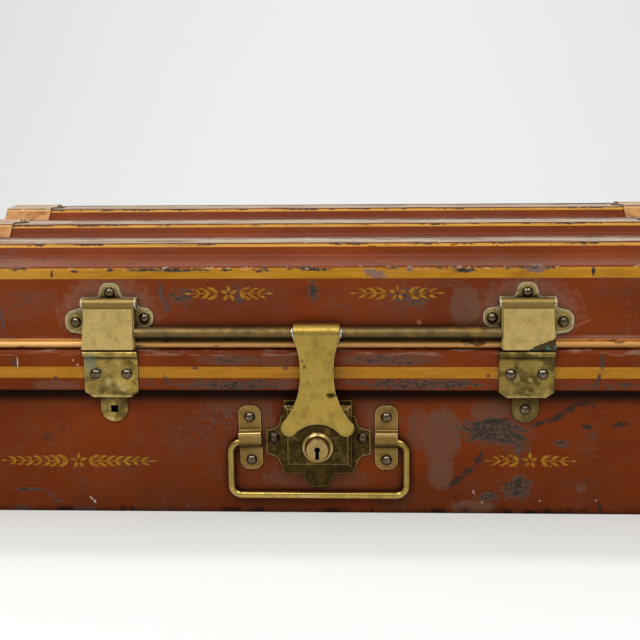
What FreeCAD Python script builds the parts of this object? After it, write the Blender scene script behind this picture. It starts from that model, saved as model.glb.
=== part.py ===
"""Ship trunk of painted sheet steel with brass hardware.

Frame: +X to the right seen from the front, -Y to the front, +Z up; the origin is the centre of the
underside. Lengths are in millimetres, angles in degrees. Hardware is drawn against its wall in the wall's
own frame: x along the wall, z up, and `out` measured outward from the plain wall face, along minus Y. A
rise or drop is measured from the parting line of base and lid, or from what its name says.
"""
import FreeCAD, Part
import math
import os

# Case: plain wall faces, heights and sheet
case_length = 670.0
case_depth = 427.0
base_height = 131.0
lid_height = 62.6
sheet = 1.0
corner_radius = 14.0
corner_half_turn = 45.0
quarter_turn = 90.0
full_turn = 360.0
seam_gap = 0.1
overrun = 4.0

# Swaged band and dust lip round the top of the base
band_proud = 6.5
band_height_share = 0.2443
band_foot_radius = 1.5
band_lower_radius = 2.0
band_upper_radius = 4.0
lip_gap = 0.8
lip_height = 9.0
lip_bend_radius = 1.5

# Floor tray
floor_flange = 12.0
floor_edge_radius = 2.0

# Lid rim with its wired edge, and the top tray over it
lid_rest_gap = 0.3
bead_radius = 3.0
cove_radius = 3.0
lid_flange = 9.3
lid_edge_radius = 3.5

# Ribs on the lid and their end caps
rib_pitch_share = 0.3138
rib_height = 10.0
rib_top_width = 34.0
rib_run = 11.6
rib_edge_radius = 2.5
cap_setback = 2.3
cap_length = 45.0
cap_fit = 0.1
tongue_length = 9.0
tongue_half_root = 11.0
tongue_half_tip = 4.5
tongue_tip_radius = 4.0

# Round-head rivets
rivet_head_radius = 4.3
rivet_head_height = 2.9
rivet_shank_radius = 1.9
rivet_tail_radius = 3.0
rivet_tail_height = 0.9
rivet_clearance = 0.1
cap_rivet_share = 0.7

# Clasps: plates on the lid, pins and levers
clasp_center = 157.3
brass = 1.2
barrel_length = 42.0
roll_radius = 4.2
roll_clearance = 0.3
pivot_rise = 35.2
tab_thickness = 1.4
pin_radius = 1.6
running_clearance = 0.05
pin_head_radius = 2.4
pin_head_length = 0.8
clasp_plate_rise = 9.6
clasp_plate_corner = 1.5
top_ear_height = 11.0
top_ear_half_root = 9.5
top_ear_half_tip = 6.0
top_ear_tip_radius = 5.5
top_rivet_rise = 3.4
ear_blend_radius = 3.0
inner_ear_reach = 32.6
inner_ear_half_height = 6.8
inner_ear_radius = 6.4
inner_rivet_offset = 25.7
inner_rivet_share = 0.534
outer_ear_reach = 35.0
outer_ear_half_height = 7.2
outer_ear_radius = 6.8
outer_rivet_offset = 26.9
outer_rivet_share = 0.417
ear_root_spread = 2.2
flap_rise = 0.7
flap_top_drop = 3.2
flap_inner_offset = 18.2
flap_outer_top_offset = 18.2
flap_outer_bottom_offset = 21.2
cheek_thickness = 1.6
cheek_back = 1.9
cheek_bead_gap = 1.2
cheek_foot_rise = 0.8
cheek_step_rise = 7.0
cheek_step_height = 3.0
cheek_slope_drop = 17.2
cheek_top_drop = 5.2

# Fastening bar and hasp
bar_radius = 5.05
bar_out = 6.5
bar_rise = 12.4
spigot_radius = 3.0
spigot_riveted_length = 1.2
hasp_knuckle_radius = 8.0
hasp_thickness = 2.6
hasp_back_cut = 1.0
hasp_rim_gap = 0.4
hasp_half_head = 17.2
hasp_head_drop = 3.4
hasp_waist_drop = 25.4
hasp_half_waist = 12.6
hasp_waist_length = 6.0
lobe_center = 21.3
lobe_rise = 15.8
lobe_radius = 6.4
arch_half_width = 16.1
arch_foot_rise = 12.9
arch_top_rise = 18.9

# Staple behind the hasp, with heights from the centre of the lock's boss
staple_half_width = 13.0
staple_low = 21.9
staple_high = 29.9
staple_base = 1.4
staple_depth = 8.5
staple_cheek_center = 10.4
staple_cheek_thickness = 3.0
bolt_window_clearance = 0.3

# Strikes on the band
strike_width = 41.0
strike_drop = 4.9
strike_chamfer_width = 6.2
strike_chamfer_height = 4.3
strike_top_gap = 0.7
strike_lip_radius = 1.8
strike_lip_reach = 4.9
strike_lip_height = 3.7
strike_bend_radius = 2.0
strike_rivet_spacing = 23.8
strike_rivet_share = 0.419
strike_tongue_half_width = 10.1
strike_tongue_drop = 25.7
strike_web_drop = 2.6
tongue_rivet_drop = 15.7
tongue_hole = 5.7

# Lock, with heights from the centre of its boss
backplate_half_width = 26.0
backplate_bottom = -24.3
backplate_top = 34.2
lock_ear_reach = 40.0
lock_ear_top = 10.7
lock_ear_bottom = -8.5
scallop_top = 21.9
scallop_top_inset = 2.3
scallop_reach = 30.7
scallop_foot = -19.9
scallop_radius = 7.0
scallop_depth = 9.5
ear_corner_radius = 1.0
base_ear_half_width = 12.0
base_ear_bottom = -35.1
base_ear_radius = 11.0
lock_rivet_offset = 34.0
lock_rivet_rise = 4.6
case_half_width = 25.6
case_bottom = -16.3
case_top = 32.1
case_proud = 11.6
case_wall = 1.2
case_bevel = 2.6
mouth_half_width = 13.6
mouth_bottom = 20.9
mouth_back = 2.6
lock_height_share = 0.4282
boss_base_radius = 11.7
boss_base_depth = 1.2
boss_ring_radius = 10.9
boss_ring_depth = 1.4
boss_neck_radius = 10.0
boss_front_radius = 8.3
boss_step = 0.6
boss_depth = 8.8
boss_rounding = 0.35
keyhole_radius = 2.3
keyhole_rise = 0.3
keyhole_bottom = -7.3
keyhole_half_neck = 1.25
keyhole_half_foot = 1.7

# Bolt and spring inside the lock, with heights from the centre of its boss
bolt_clearance = 0.3
bolt_left = 23.6
bolt_bar_width = 5.6
bolt_bar_bottom = -4.1
bolt_bar_top = 27.9
bolt_bar_depth = 6.6
bolt_head_thickness = 2.6
bolt_head_height = 3.2
bolt_head_center = 25.9
bolt_tip = 12.6
bolt_foot_height = 4.0
bolt_foot_depth = 3.0
bolt_foot_tip = 9.0
spring_thickness = 0.6
spring_width = 3.0
spring_half_span = 7.0
spring_rise = 6.5
spring_anchor_width = 3.0

# Wire handles and their clips
wire_radius = 2.75
wire_wall_gap = 0.3
bail_half_width = 67.6
bail_height_share = 0.4405
bail_drop = 42.4
bail_corner_radius = 8.0
clip_center = 52.2
clip_width = 17.1
clip_foot = 22.3
clip_rise = 28.3
clip_end_radius = 6.5
clip_pocket_low = 3.1
clip_pocket_high = 7.3
clip_pocket_radius = 2.7
clip_front_gap = 0.4
clip_bend_radius = 1.2
clip_upper_radius = 1.9
clip_hook_inset = 1.0
clip_rivet_drop = 14.8
clip_rivet_rise = 19.2
left_clip_lean = 1.8

# Back hinges
hinge_center = 200.0
hinge_width = 60.0
hinge_middle_width = 19.7
hinge_leaf = 1.2
hinge_knuckle_radius = 3.2
hinge_pin_radius = 1.5
hinge_wall_gap = 0.3
hinge_end_gap = 0.3
hinge_leaf_margin = 5.0
hinge_lid_web_height = 9.9
hinge_lid_leaf_rise = 41.0
hinge_corner_radius = 4.0
hinge_rivet_spacing = 40.0
hinge_base_rivet_share = 0.469
hinge_lid_rivet_rise = 29.0

# Heights that follow from the ones above
band_height = base_height * band_height_share
band_bottom = base_height - band_height
lid_top = base_height + lid_height
lock_height = base_height * lock_height_share
bail_axis_height = base_height * bail_height_share
pivot_height = base_height + pivot_rise
clasp_plate_bottom = base_height + clasp_plate_rise
clasp_plate_height = pivot_height - clasp_plate_bottom
inner_rivet_height = clasp_plate_bottom + clasp_plate_height * inner_rivet_share
outer_rivet_height = clasp_plate_bottom + clasp_plate_height * outer_rivet_share
flap_bottom = base_height + flap_rise
flap_top = pivot_height - flap_top_drop
cheek_step_low = base_height + cheek_step_rise
cheek_step_high = cheek_step_low + cheek_step_height
cheek_slope_start = pivot_height - cheek_slope_drop
cheek_top = pivot_height - cheek_top_drop
bar_height = base_height + bar_rise
hasp_head_bottom = bar_height - hasp_head_drop
hasp_waist_top = bar_height - hasp_waist_drop
hasp_waist_bottom = hasp_waist_top - hasp_waist_length
lobe_height = lock_height + lobe_rise
arch_foot_height = lock_height + arch_foot_rise
arch_top_height = lock_height + arch_top_rise
strike_rivet_height = band_bottom + band_height * strike_rivet_share
strike_tongue_bottom = band_bottom - strike_tongue_drop
tongue_rivet_height = band_bottom - tongue_rivet_drop
clip_bottom = bail_axis_height - clip_foot
clip_top = bail_axis_height + clip_rise
hinge_base_leaf_bottom = band_bottom + hinge_leaf_margin
hinge_base_rivet_height = band_bottom + band_height * hinge_base_rivet_share
hinge_lid_leaf_top = base_height + hinge_lid_leaf_rise
hinge_lid_rivet_height = base_height + hinge_lid_rivet_rise

# Other sizes that follow
rib_pitch = case_depth * rib_pitch_share
pivot_out = brass + roll_clearance + roll_radius
lever_face = pivot_out + roll_radius
hasp_face = bar_out + hasp_knuckle_radius
hasp_back = hasp_face - hasp_thickness
bead_out = bead_radius - sheet
bead_height = base_height + lid_rest_gap + bead_radius
cove_height = bead_height + math.sqrt((bead_radius + cove_radius) ** 2 - (cove_radius - bead_out) ** 2)
wire_out = wire_wall_gap + wire_radius
cap_end = case_length / 2 - cap_setback
lever_half_width = barrel_length / 2 - tab_thickness - roll_clearance
strike_face = band_proud + brass
strike_bottom = band_bottom - strike_drop
strike_top = base_height - strike_top_gap
hinge_out = band_proud + hinge_wall_gap + hinge_knuckle_radius

front_wall = (case_depth / 2, 0.0)
right_wall = (case_length / 2, quarter_turn)
back_wall = (case_depth / 2, 2 * quarter_turn)
left_wall = (case_length / 2, -quarter_turn)
sides = (("left", -1), ("right", 1))


def vec(x, y, z):
    return FreeCAD.Vector(x, y, z)


ORIGIN = vec(0, 0, 0)
X_AXIS = vec(1, 0, 0)
Y_AXIS = vec(0, 1, 0)
Z_AXIS = vec(0, 0, 1)


def save(name, *shapes):
    """Writes one sub-part; several solids become a compound."""
    shape = shapes[0] if len(shapes) == 1 else Part.makeCompound(list(shapes))
    if not shape.isValid():
        print("invalid shape", name)
    shape.exportStep(os.path.join("parts", name + ".step"))
    print(name, len(shape.Solids), round(shape.Volume))


def edges_of(steps, place):
    """Edges along steps: each step is a point, or a middle point and an end point of an arc."""
    edges = []
    here = steps[0][-1]
    for step in steps[1:]:
        there = step[-1]
        if len(step) == 1:
            edges.append(Part.LineSegment(place(*here), place(*there)).toShape())
        else:
            edges.append(Part.Arc(place(*here), place(*step[0]), place(*there)).toShape())
        here = there
    return edges


def rounded_steps(corners):
    """Steps of a closed outline whose corners (a, b, radius) are rounded by tangent arcs."""
    steps = []
    count = len(corners)
    for index, corner in enumerate(corners):
        a, b = corner[:2]
        radius = corner[2] if len(corner) > 2 else 0
        before = corners[index - 1]
        after = corners[(index + 1) % count]
        if not radius:
            steps.append(((a, b),))
            continue
        back = unit(before[0] - a, before[1] - b)
        ahead = unit(after[0] - a, after[1] - b)
        half = math.acos(back[0] * ahead[0] + back[1] * ahead[1]) / 2
        tangent = radius / math.tan(half)
        middle = unit(back[0] + ahead[0], back[1] + ahead[1])
        near = radius / math.sin(half) - radius
        steps.append(((a + back[0] * tangent, b + back[1] * tangent),))
        steps.append(((a + middle[0] * near, b + middle[1] * near),
                      (a + ahead[0] * tangent, b + ahead[1] * tangent)))
    return steps + [(steps[0][-1],)]


def unit(a, b):
    size = math.hypot(a, b)
    return a / size, b / size


def face_from(steps, place):
    return Part.Face(Part.Wire(edges_of(steps, place)))


def plate(corners, low, thickness):
    """A flat plate in the wall's frame from an (x, z) outline; low is its back face, as `out`."""
    face = face_from(rounded_steps(corners), lambda x, z: vec(x, -low, z))
    return face.extrude(vec(0, -thickness, 0))


def strip(corners, left, right):
    """A solid along x from an (out, z) section."""
    face = face_from(rounded_steps(corners), lambda out, z: vec(left, -out, z))
    return face.extrude(vec(right - left, 0, 0))


def block(left, right, low, high, bottom, top):
    """A rectangular block in the wall's frame: x, out and z ranges."""
    return Part.makeBox(right - left, high - low, top - bottom, vec(left, -high, bottom))


def rod(left, right, out, z, radius):
    """A round bar along x in the wall's frame."""
    return Part.makeCylinder(radius, right - left, vec(left, -out, z), X_AXIS)


def offset_path(path, gap):
    """The bends (out, z, radius) of a sheet's face, moved to the left of the path by gap."""
    moved = []
    last = len(path) - 1
    for index, bend in enumerate(path):
        a, b = bend[:2]
        radius = bend[2] if len(bend) > 2 else 0
        ahead = unit(path[index + 1][0] - a, path[index + 1][1] - b) if index < last else None
        back = unit(a - path[index - 1][0], b - path[index - 1][1]) if index else None
        first = back or ahead
        second = ahead or back
        turn = first[0] * second[1] - first[1] * second[0]
        share = gap / (1 + first[0] * second[0] + first[1] * second[1])
        a -= (first[1] + second[1]) * share
        b += (first[0] + second[0]) * share
        if radius:
            radius = max(radius - gap if turn > 0 else radius + gap, 0)
        moved.append((a, b, radius))
    return moved


def sheet_corners(path, thickness):
    """Closed outline of bent sheet whose outer face follows path."""
    return list(path) + offset_path(path, thickness)[::-1]


def on_wall(shape, wall):
    """Moves a shape from its wall's frame to that wall of the case."""
    reach, turn = wall
    placed = shape.copy()
    placed.translate(vec(0, -reach, 0))
    placed.rotate(ORIGIN, Z_AXIS, turn)
    return placed


def on_lock(shape):
    """Moves a shape drawn about the lock's boss to its place on the front wall."""
    placed = shape.copy()
    placed.translate(vec(0, 0, lock_height))
    return on_wall(placed, front_wall)


def mirrored(shape, side):
    """The right-hand shape, or its mirror image for the left."""
    return shape if side > 0 else shape.mirror(ORIGIN, X_AXIS)


def joined(shapes):
    return shapes[0].fuse(shapes[1:]).removeSplitter()


def cut_all(shape, tools):
    """Cuts tools off a shape and keeps its single solid."""
    return shape.cut(tools).Solids[0] if tools else shape


# Rivets: sites are (x, z, seat, stack), the seat being the face under the head

def rivet(stack, scale_share):
    """A rivet along +Z with the face under its head at z = 0."""
    head = rivet_head_radius * scale_share
    rise = rivet_head_height * scale_share
    shank = rivet_shank_radius * scale_share
    ball = (head ** 2 + rise ** 2) / (2 * rise)
    half = math.asin(head / ball) / 2
    middle = (ball * math.sin(half), rise - ball + ball * math.cos(half))
    steps = [((0, 0),), ((head, 0),), (middle, (0, rise)), ((0, 0),)]
    dome = face_from(steps, lambda a, b: vec(a, 0, b)).revolve(ORIGIN, Z_AXIS, full_turn)
    stem = Part.makeCylinder(shank, stack, vec(0, 0, -stack))
    tail_height = rivet_tail_height * scale_share
    tail = Part.makeCylinder(rivet_tail_radius * scale_share, tail_height,
                             vec(0, 0, -stack - tail_height))
    return joined([dome, stem, tail])


def rivets_at(sites, wall):
    """Rivets set in a wall, as separate solids."""
    made = []
    for x, z, seat, stack in sites:
        solid = rivet(stack, 1)
        solid.rotate(ORIGIN, X_AXIS, quarter_turn)
        solid.translate(vec(x, -seat, z))
        made.append(on_wall(solid, wall))
    return made


def rivet_holes(sites):
    """Holes for rivets in the wall's frame."""
    radius = rivet_shank_radius + rivet_clearance
    made = []
    for x, z, seat, stack in sites:
        start = seat - stack - sheet
        length = stack + sheet + overrun
        made.append(Part.makeCylinder(radius, length, vec(x, -start, z), -Y_AXIS))
    return made


clasp_sites = [
    (clasp_center, pivot_height + roll_radius + top_rivet_rise, brass, brass + sheet),
    (clasp_center - inner_rivet_offset, inner_rivet_height, brass, brass + sheet),
    (clasp_center + outer_rivet_offset, outer_rivet_height, brass, brass + sheet),
]
strike_sites = [
    (clasp_center - strike_rivet_spacing / 2, strike_rivet_height, strike_face, brass + sheet),
    (clasp_center + strike_rivet_spacing / 2, strike_rivet_height, strike_face, brass + sheet),
]
tongue_site = (clasp_center, tongue_rivet_height, brass, brass + sheet)
lock_sites = [
    (-lock_rivet_offset, lock_rivet_rise, brass, brass + sheet),
    (lock_rivet_offset, lock_rivet_rise, brass, brass + sheet),
]


def clip_rivet_sites(lean):
    """Rivet sites of a clip centred at x = 0 and leaning by an angle about the bail's axis."""
    sites = []
    for rise in (-clip_rivet_drop, clip_rivet_rise):
        x = -rise * math.sin(math.radians(lean))
        z = bail_axis_height + rise * math.cos(math.radians(lean))
        sites.append((x, z, brass, brass + sheet))
    return sites


def shifted(sites, x, side=1):
    return [((site[0] + x) * side,) + tuple(site[1:]) for site in sites]


def raised(sites, height):
    return [(site[0], site[1] + height) + tuple(site[2:]) for site in sites]


def hinge_sites(height, seat):
    """Two rivets of one hinge leaf, centred at x = 0."""
    half = hinge_rivet_spacing / 2
    return [(-half, height, seat, hinge_leaf + sheet), (half, height, seat, hinge_leaf + sheet)]


front_clips = (("left", -clip_center, left_clip_lean), ("right", clip_center, 0.0))
front_clip_sites = [site for _, x, lean in front_clips for site in shifted(clip_rivet_sites(lean), x)]
end_clip_sites = [site for _, side in sides for site in shifted(clip_rivet_sites(0), side * clip_center)]
both_strike_sites = shifted(strike_sites, 0, -1) + strike_sites
front_lock_sites = raised(lock_sites, lock_height)
front_base_sites = both_strike_sites + [tongue_site] + front_lock_sites + front_clip_sites
base_hinge_seat = band_proud + hinge_leaf
base_hinge_sites = [site for _, side in sides
                    for site in shifted(hinge_sites(hinge_base_rivet_height, base_hinge_seat),
                                        side * hinge_center)]
lid_hinge_sites = [site for _, side in sides
                   for site in shifted(hinge_sites(hinge_lid_rivet_height, hinge_leaf),
                                       side * hinge_center)]
front_lid_sites = shifted(clasp_sites, 0, -1) + clasp_sites


# Sheet-metal rings: four panels that meet on the corners' middle lines

def ring_panel(steps, run):
    """One wall of a ring from an (out, z) section: a straight run and half of each corner."""
    parts = []
    for end in (-1, 1):
        x = end * run / 2
        face = face_from(steps, lambda out, z: vec(x, -out, z))
        axis_point = vec(x, corner_radius, 0)
        parts.append(face.revolve(axis_point, Z_AXIS * end, corner_half_turn))
    middle = face_from(steps, lambda out, z: vec(-run / 2, -out, z)).extrude(vec(run, 0, 0))
    return joined([middle] + parts)


def ring(steps, holes):
    """The four panels of a ring by wall name; holes gives each wall's cutting solids."""
    walls = {"front": front_wall, "right": right_wall, "back": back_wall, "left": left_wall}
    panels = {}
    for name, wall in walls.items():
        length = case_length if name in ("front", "back") else case_depth
        panel = ring_panel(steps, length - 2 * corner_radius)
        panels[name] = on_wall(cut_all(panel, holes.get(name, [])), wall)
    return panels


def base_section():
    """Section of a base wall: plain face, swaged band, ledge and dust lip."""
    lip = -(sheet + lip_gap)
    path = [
        (0, 0),
        (0, band_bottom, band_foot_radius),
        (band_proud, band_bottom, band_lower_radius),
        (band_proud, base_height, band_upper_radius),
        (lip, base_height, lip_bend_radius),
        (lip, base_height + lip_height),
    ]
    return rounded_steps(sheet_corners(path, sheet))


def rim_section():
    """Section of the lid's rim: wired edge, cove, face, and a joggled top under the top tray."""
    reach = bead_radius + cove_radius
    share = bead_radius / reach
    meet = (bead_out + (cove_radius - bead_out) * share, bead_height + (cove_height - bead_height) * share)
    joggle = sheet + seam_gap
    step = lid_top - lid_flange - seam_gap
    rim_top = lid_top - lid_edge_radius - seam_gap
    face_path = [(0, cove_height), (0, step), (-joggle, step), (-joggle, rim_top)]
    inner = offset_path(face_path, sheet)[::-1]
    steps = [((bend[0], bend[1]),) for bend in face_path + inner]
    diagonal = bead_radius / math.sqrt(2)
    low_middle = (bead_out + diagonal, bead_height - diagonal)
    cove_middle_angle = (math.atan2(meet[1] - cove_height, meet[0] - cove_radius) - math.pi) / 2
    cove_middle = (cove_radius + cove_radius * math.cos(cove_middle_angle),
                   cove_height + cove_radius * math.sin(cove_middle_angle))
    steps.append(((-sheet, bead_height),))
    steps.append((low_middle, meet))
    steps.append((cove_middle, (0, cove_height)))
    return steps


def rounded_slab(length, depth, radius, bottom, top):
    """An upright block with rounded corners about the origin."""
    half_x = length / 2
    half_y = depth / 2
    corners = [(-half_x, -half_y, radius), (half_x, -half_y, radius),
               (half_x, half_y, radius), (-half_x, half_y, radius)]
    face = face_from(rounded_steps(corners), lambda x, y: vec(x, y, bottom))
    return face.extrude(vec(0, 0, top - bottom))


def soften(solid, height, radius):
    """Rounds the outline edges that lie at one height."""
    edges = [edge for edge in solid.Edges
             if max(abs(vertex.Point.z - height) for vertex in edge.Vertexes) < seam_gap]
    return solid.makeFillet(radius, edges)


def make_base():
    half_tool = tongue_hole / 2
    missing = block(-clasp_center - half_tool, -clasp_center + half_tool, -sheet - overrun, overrun,
                    tongue_rivet_height - half_tool, tongue_rivet_height + half_tool)
    holes = {
        "front": rivet_holes(front_base_sites) + [missing],
        "right": rivet_holes(end_clip_sites),
        "left": rivet_holes(end_clip_sites),
        "back": rivet_holes(base_hinge_sites),
    }
    for name, panel in ring(base_section(), holes).items():
        save("base_" + name + "_wall", panel)
    inset = 2 * (sheet + seam_gap)
    radius = corner_radius - sheet - seam_gap
    outer = rounded_slab(case_length - inset, case_depth - inset, radius, 0, floor_flange)
    outer = soften(outer, 0, floor_edge_radius)
    hollow = rounded_slab(case_length - inset - 2 * sheet, case_depth - inset - 2 * sheet,
                          radius - sheet, sheet, floor_flange + overrun)
    hollow = soften(hollow, sheet, floor_edge_radius - sheet)
    save("base_floor", outer.cut(hollow).Solids[0])


def make_lid():
    holes = {"front": rivet_holes(front_lid_sites), "back": rivet_holes(lid_hinge_sites)}
    for name, panel in ring(rim_section(), holes).items():
        save("lid_" + name + "_rim", panel)
    flange_bottom = lid_top - lid_flange
    outer = rounded_slab(case_length, case_depth, corner_radius, flange_bottom, lid_top)
    outer = soften(outer, lid_top, lid_edge_radius)
    inner_top = lid_top - sheet
    hollow = rounded_slab(case_length - 2 * sheet, case_depth - 2 * sheet, corner_radius - sheet,
                          flange_bottom - overrun, inner_top)
    hollow = soften(hollow, inner_top, lid_edge_radius - sheet)
    save("lid_top_panel", outer.cut(hollow).Solids[0])


def rib_corners(grow):
    """Section (y, height) of a rib, its faces moved outward by grow."""
    slope = math.hypot(rib_run, rib_height) / rib_height
    half_base = rib_top_width / 2 + rib_run + grow * slope
    top = rib_height + grow
    half_top = half_base - top * rib_run / rib_height
    radius = rib_edge_radius + grow
    return [(-half_base, 0), (-half_top, top, radius), (half_top, top, radius), (half_base, 0)]


def rib_prism(grow, start, end, y):
    face = face_from(rounded_steps(rib_corners(grow)), lambda a, b: vec(start, y + a, lid_top + b))
    return face.extrude(vec(end - start, 0, 0))


def make_ribs():
    rivets = []
    stack = 2 * sheet + cap_fit
    tongue_bottom = lid_top + rib_height + cap_fit
    rivet_x = cap_end - cap_length - tongue_length + tongue_half_tip
    for name, y in (("front", -rib_pitch), ("middle", 0), ("rear", rib_pitch)):
        half = cap_end - sheet - seam_gap
        rib = rib_prism(0, -half, half, y).cut(rib_prism(-sheet, -half - overrun, half + overrun, y))
        holes = []
        for _, side in sides:
            hole_radius = (rivet_shank_radius + rivet_clearance) * cap_rivet_share
            holes.append(Part.makeCylinder(hole_radius, stack + 2 * overrun,
                                           vec(side * rivet_x, y, tongue_bottom - stack - overrun)))
            pin = rivet(stack, cap_rivet_share)
            pin.translate(vec(side * rivet_x, y, tongue_bottom + sheet))
            rivets.append(pin)
        save("lid_rib_" + name, cut_all(rib, holes))
        start = cap_end - cap_length
        shell = rib_prism(cap_fit + sheet, start, cap_end, y)
        tongue_face = face_from(rounded_steps([
            (start + sheet, y - tongue_half_root),
            (start + sheet, y + tongue_half_root),
            (start - tongue_length, y + tongue_half_tip, tongue_tip_radius),
            (start - tongue_length, y - tongue_half_tip, tongue_tip_radius),
        ]), lambda a, b: vec(a, b, tongue_bottom))
        shell = joined([shell, tongue_face.extrude(vec(0, 0, sheet))])
        cap = shell.cut(rib_prism(cap_fit, start - overrun - tongue_length, cap_end - sheet, y)).Solids[0]
        cap = cut_all(cap, holes[1:])
        for side_name, side in sides:
            save("rib_cap_" + name + "_" + side_name, mirrored(cap, side))
    save("rib_cap_rivets", *rivets)


def clasp_plate():
    """The right clasp's eared plate with its two pin tabs."""
    half = barrel_length / 2
    top = pivot_height + roll_radius
    tip = top + top_ear_height
    inner_high = inner_rivet_height + inner_ear_half_height
    inner_low = inner_rivet_height - inner_ear_half_height
    outer_high = outer_rivet_height + outer_ear_half_height
    outer_low = outer_rivet_height - outer_ear_half_height
    blend = ear_blend_radius
    corners = [
        (half, clasp_plate_bottom),
        (half, outer_low - ear_root_spread, blend),
        (outer_ear_reach, outer_low, outer_ear_radius),
        (outer_ear_reach, outer_high, outer_ear_radius),
        (half, outer_high + 2 * ear_root_spread, blend),
        (half, top, clasp_plate_corner),
        (top_ear_half_root, top, blend),
        (top_ear_half_tip, tip, top_ear_tip_radius),
        (-top_ear_half_tip, tip, top_ear_tip_radius),
        (-top_ear_half_root, top, blend),
        (-half, top, clasp_plate_corner),
        (-half, inner_high + ear_root_spread, blend),
        (-inner_ear_reach, inner_high, inner_ear_radius),
        (-inner_ear_reach, inner_low, inner_ear_radius),
        (-half, inner_low, clasp_plate_corner),
        (-half, clasp_plate_bottom),
    ]
    base = plate([(clasp_center + corner[0],) + corner[1:] for corner in corners], 0, brass)
    parts = [base]
    for left in (clasp_center - half, clasp_center + half - tab_thickness):
        right = left + tab_thickness
        parts.append(rod(left, right, pivot_out, pivot_height, roll_radius))
        parts.append(block(left, right, brass / 2, pivot_out,
                           pivot_height - roll_radius, pivot_height + roll_radius))
    bore = rod(clasp_center - barrel_length, clasp_center + barrel_length, pivot_out, pivot_height,
               pin_radius + running_clearance)
    return cut_all(joined(parts), [bore] + rivet_holes(clasp_sites))


def clasp_pin():
    half = barrel_length / 2
    left = clasp_center - half
    right = clasp_center + half
    return joined([
        rod(left - pin_head_length, right + pin_head_length, pivot_out, pivot_height, pin_radius),
        rod(left - pin_head_length, left, pivot_out, pivot_height, pin_head_radius),
        rod(right, right + pin_head_length, pivot_out, pivot_height, pin_head_radius),
    ])


def clasp_lever():
    """The right lever: rolled knuckle, face plate, overlay and two cheeks."""
    left = clasp_center - lever_half_width
    right = clasp_center + lever_half_width
    foot = flap_bottom + cheek_foot_rise
    inner_face = lever_face - brass
    bead_clear = bead_out + bead_radius + cheek_bead_gap
    cheek = [
        (lever_face, foot),
        (bead_clear, foot),
        (bead_clear, cheek_step_low),
        (cheek_back, cheek_step_high),
        (cheek_back, cheek_slope_start),
        (inner_face, cheek_top),
        (lever_face, cheek_top),
    ]
    overlay = [
        (clasp_center - flap_inner_offset, flap_bottom, seam_gap),
        (clasp_center + flap_outer_bottom_offset, flap_bottom, clasp_plate_corner / 2),
        (clasp_center + flap_outer_top_offset, flap_top, clasp_plate_corner / 2),
        (clasp_center - flap_inner_offset, flap_top, seam_gap),
    ]
    parts = [
        rod(left, right, pivot_out, pivot_height, roll_radius),
        block(left, right, inner_face, lever_face, foot, pivot_height),
        strip(cheek, left, left + cheek_thickness),
        strip(cheek, right - cheek_thickness, right),
        plate(overlay, lever_face, brass),
    ]
    bore = rod(left - overrun, right + overrun, pivot_out, pivot_height, pin_radius + running_clearance)
    spigot_hole = rod(left - overrun, left + cheek_thickness + overrun, bar_out, bar_height,
                      spigot_radius + seam_gap)
    return cut_all(joined(parts), [bore, spigot_hole])


def make_clasps():
    for name, side in sides:
        save("clasp_plate_" + name, on_wall(mirrored(clasp_plate(), side), front_wall))
        save("clasp_lever_" + name, on_wall(mirrored(clasp_lever(), side), front_wall))
    save("clasp_pins", *[on_wall(mirrored(clasp_pin(), side), front_wall) for _, side in sides])
    save("clasp_rivets", *rivets_at(front_lid_sites, front_wall))


def make_bar():
    """Round bar with a spigot at each end, riveted in the levers' inner cheeks."""
    shoulder = clasp_center - lever_half_width - seam_gap / 2
    tip = shoulder + cheek_thickness + spigot_riveted_length
    bar = joined([
        rod(-shoulder, shoulder, bar_out, bar_height, bar_radius),
        rod(-tip, tip, bar_out, bar_height, spigot_radius),
    ])
    save("fastening_bar", on_wall(bar, front_wall))


def waist_curve_radius():
    """Radius of the flank that leaves the waist upright and meets the lobe's circle."""
    across = lobe_center - hasp_half_waist
    down = hasp_waist_bottom - lobe_height
    return (across ** 2 + down ** 2 - lobe_radius ** 2) / (2 * (across + lobe_radius))


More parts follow.
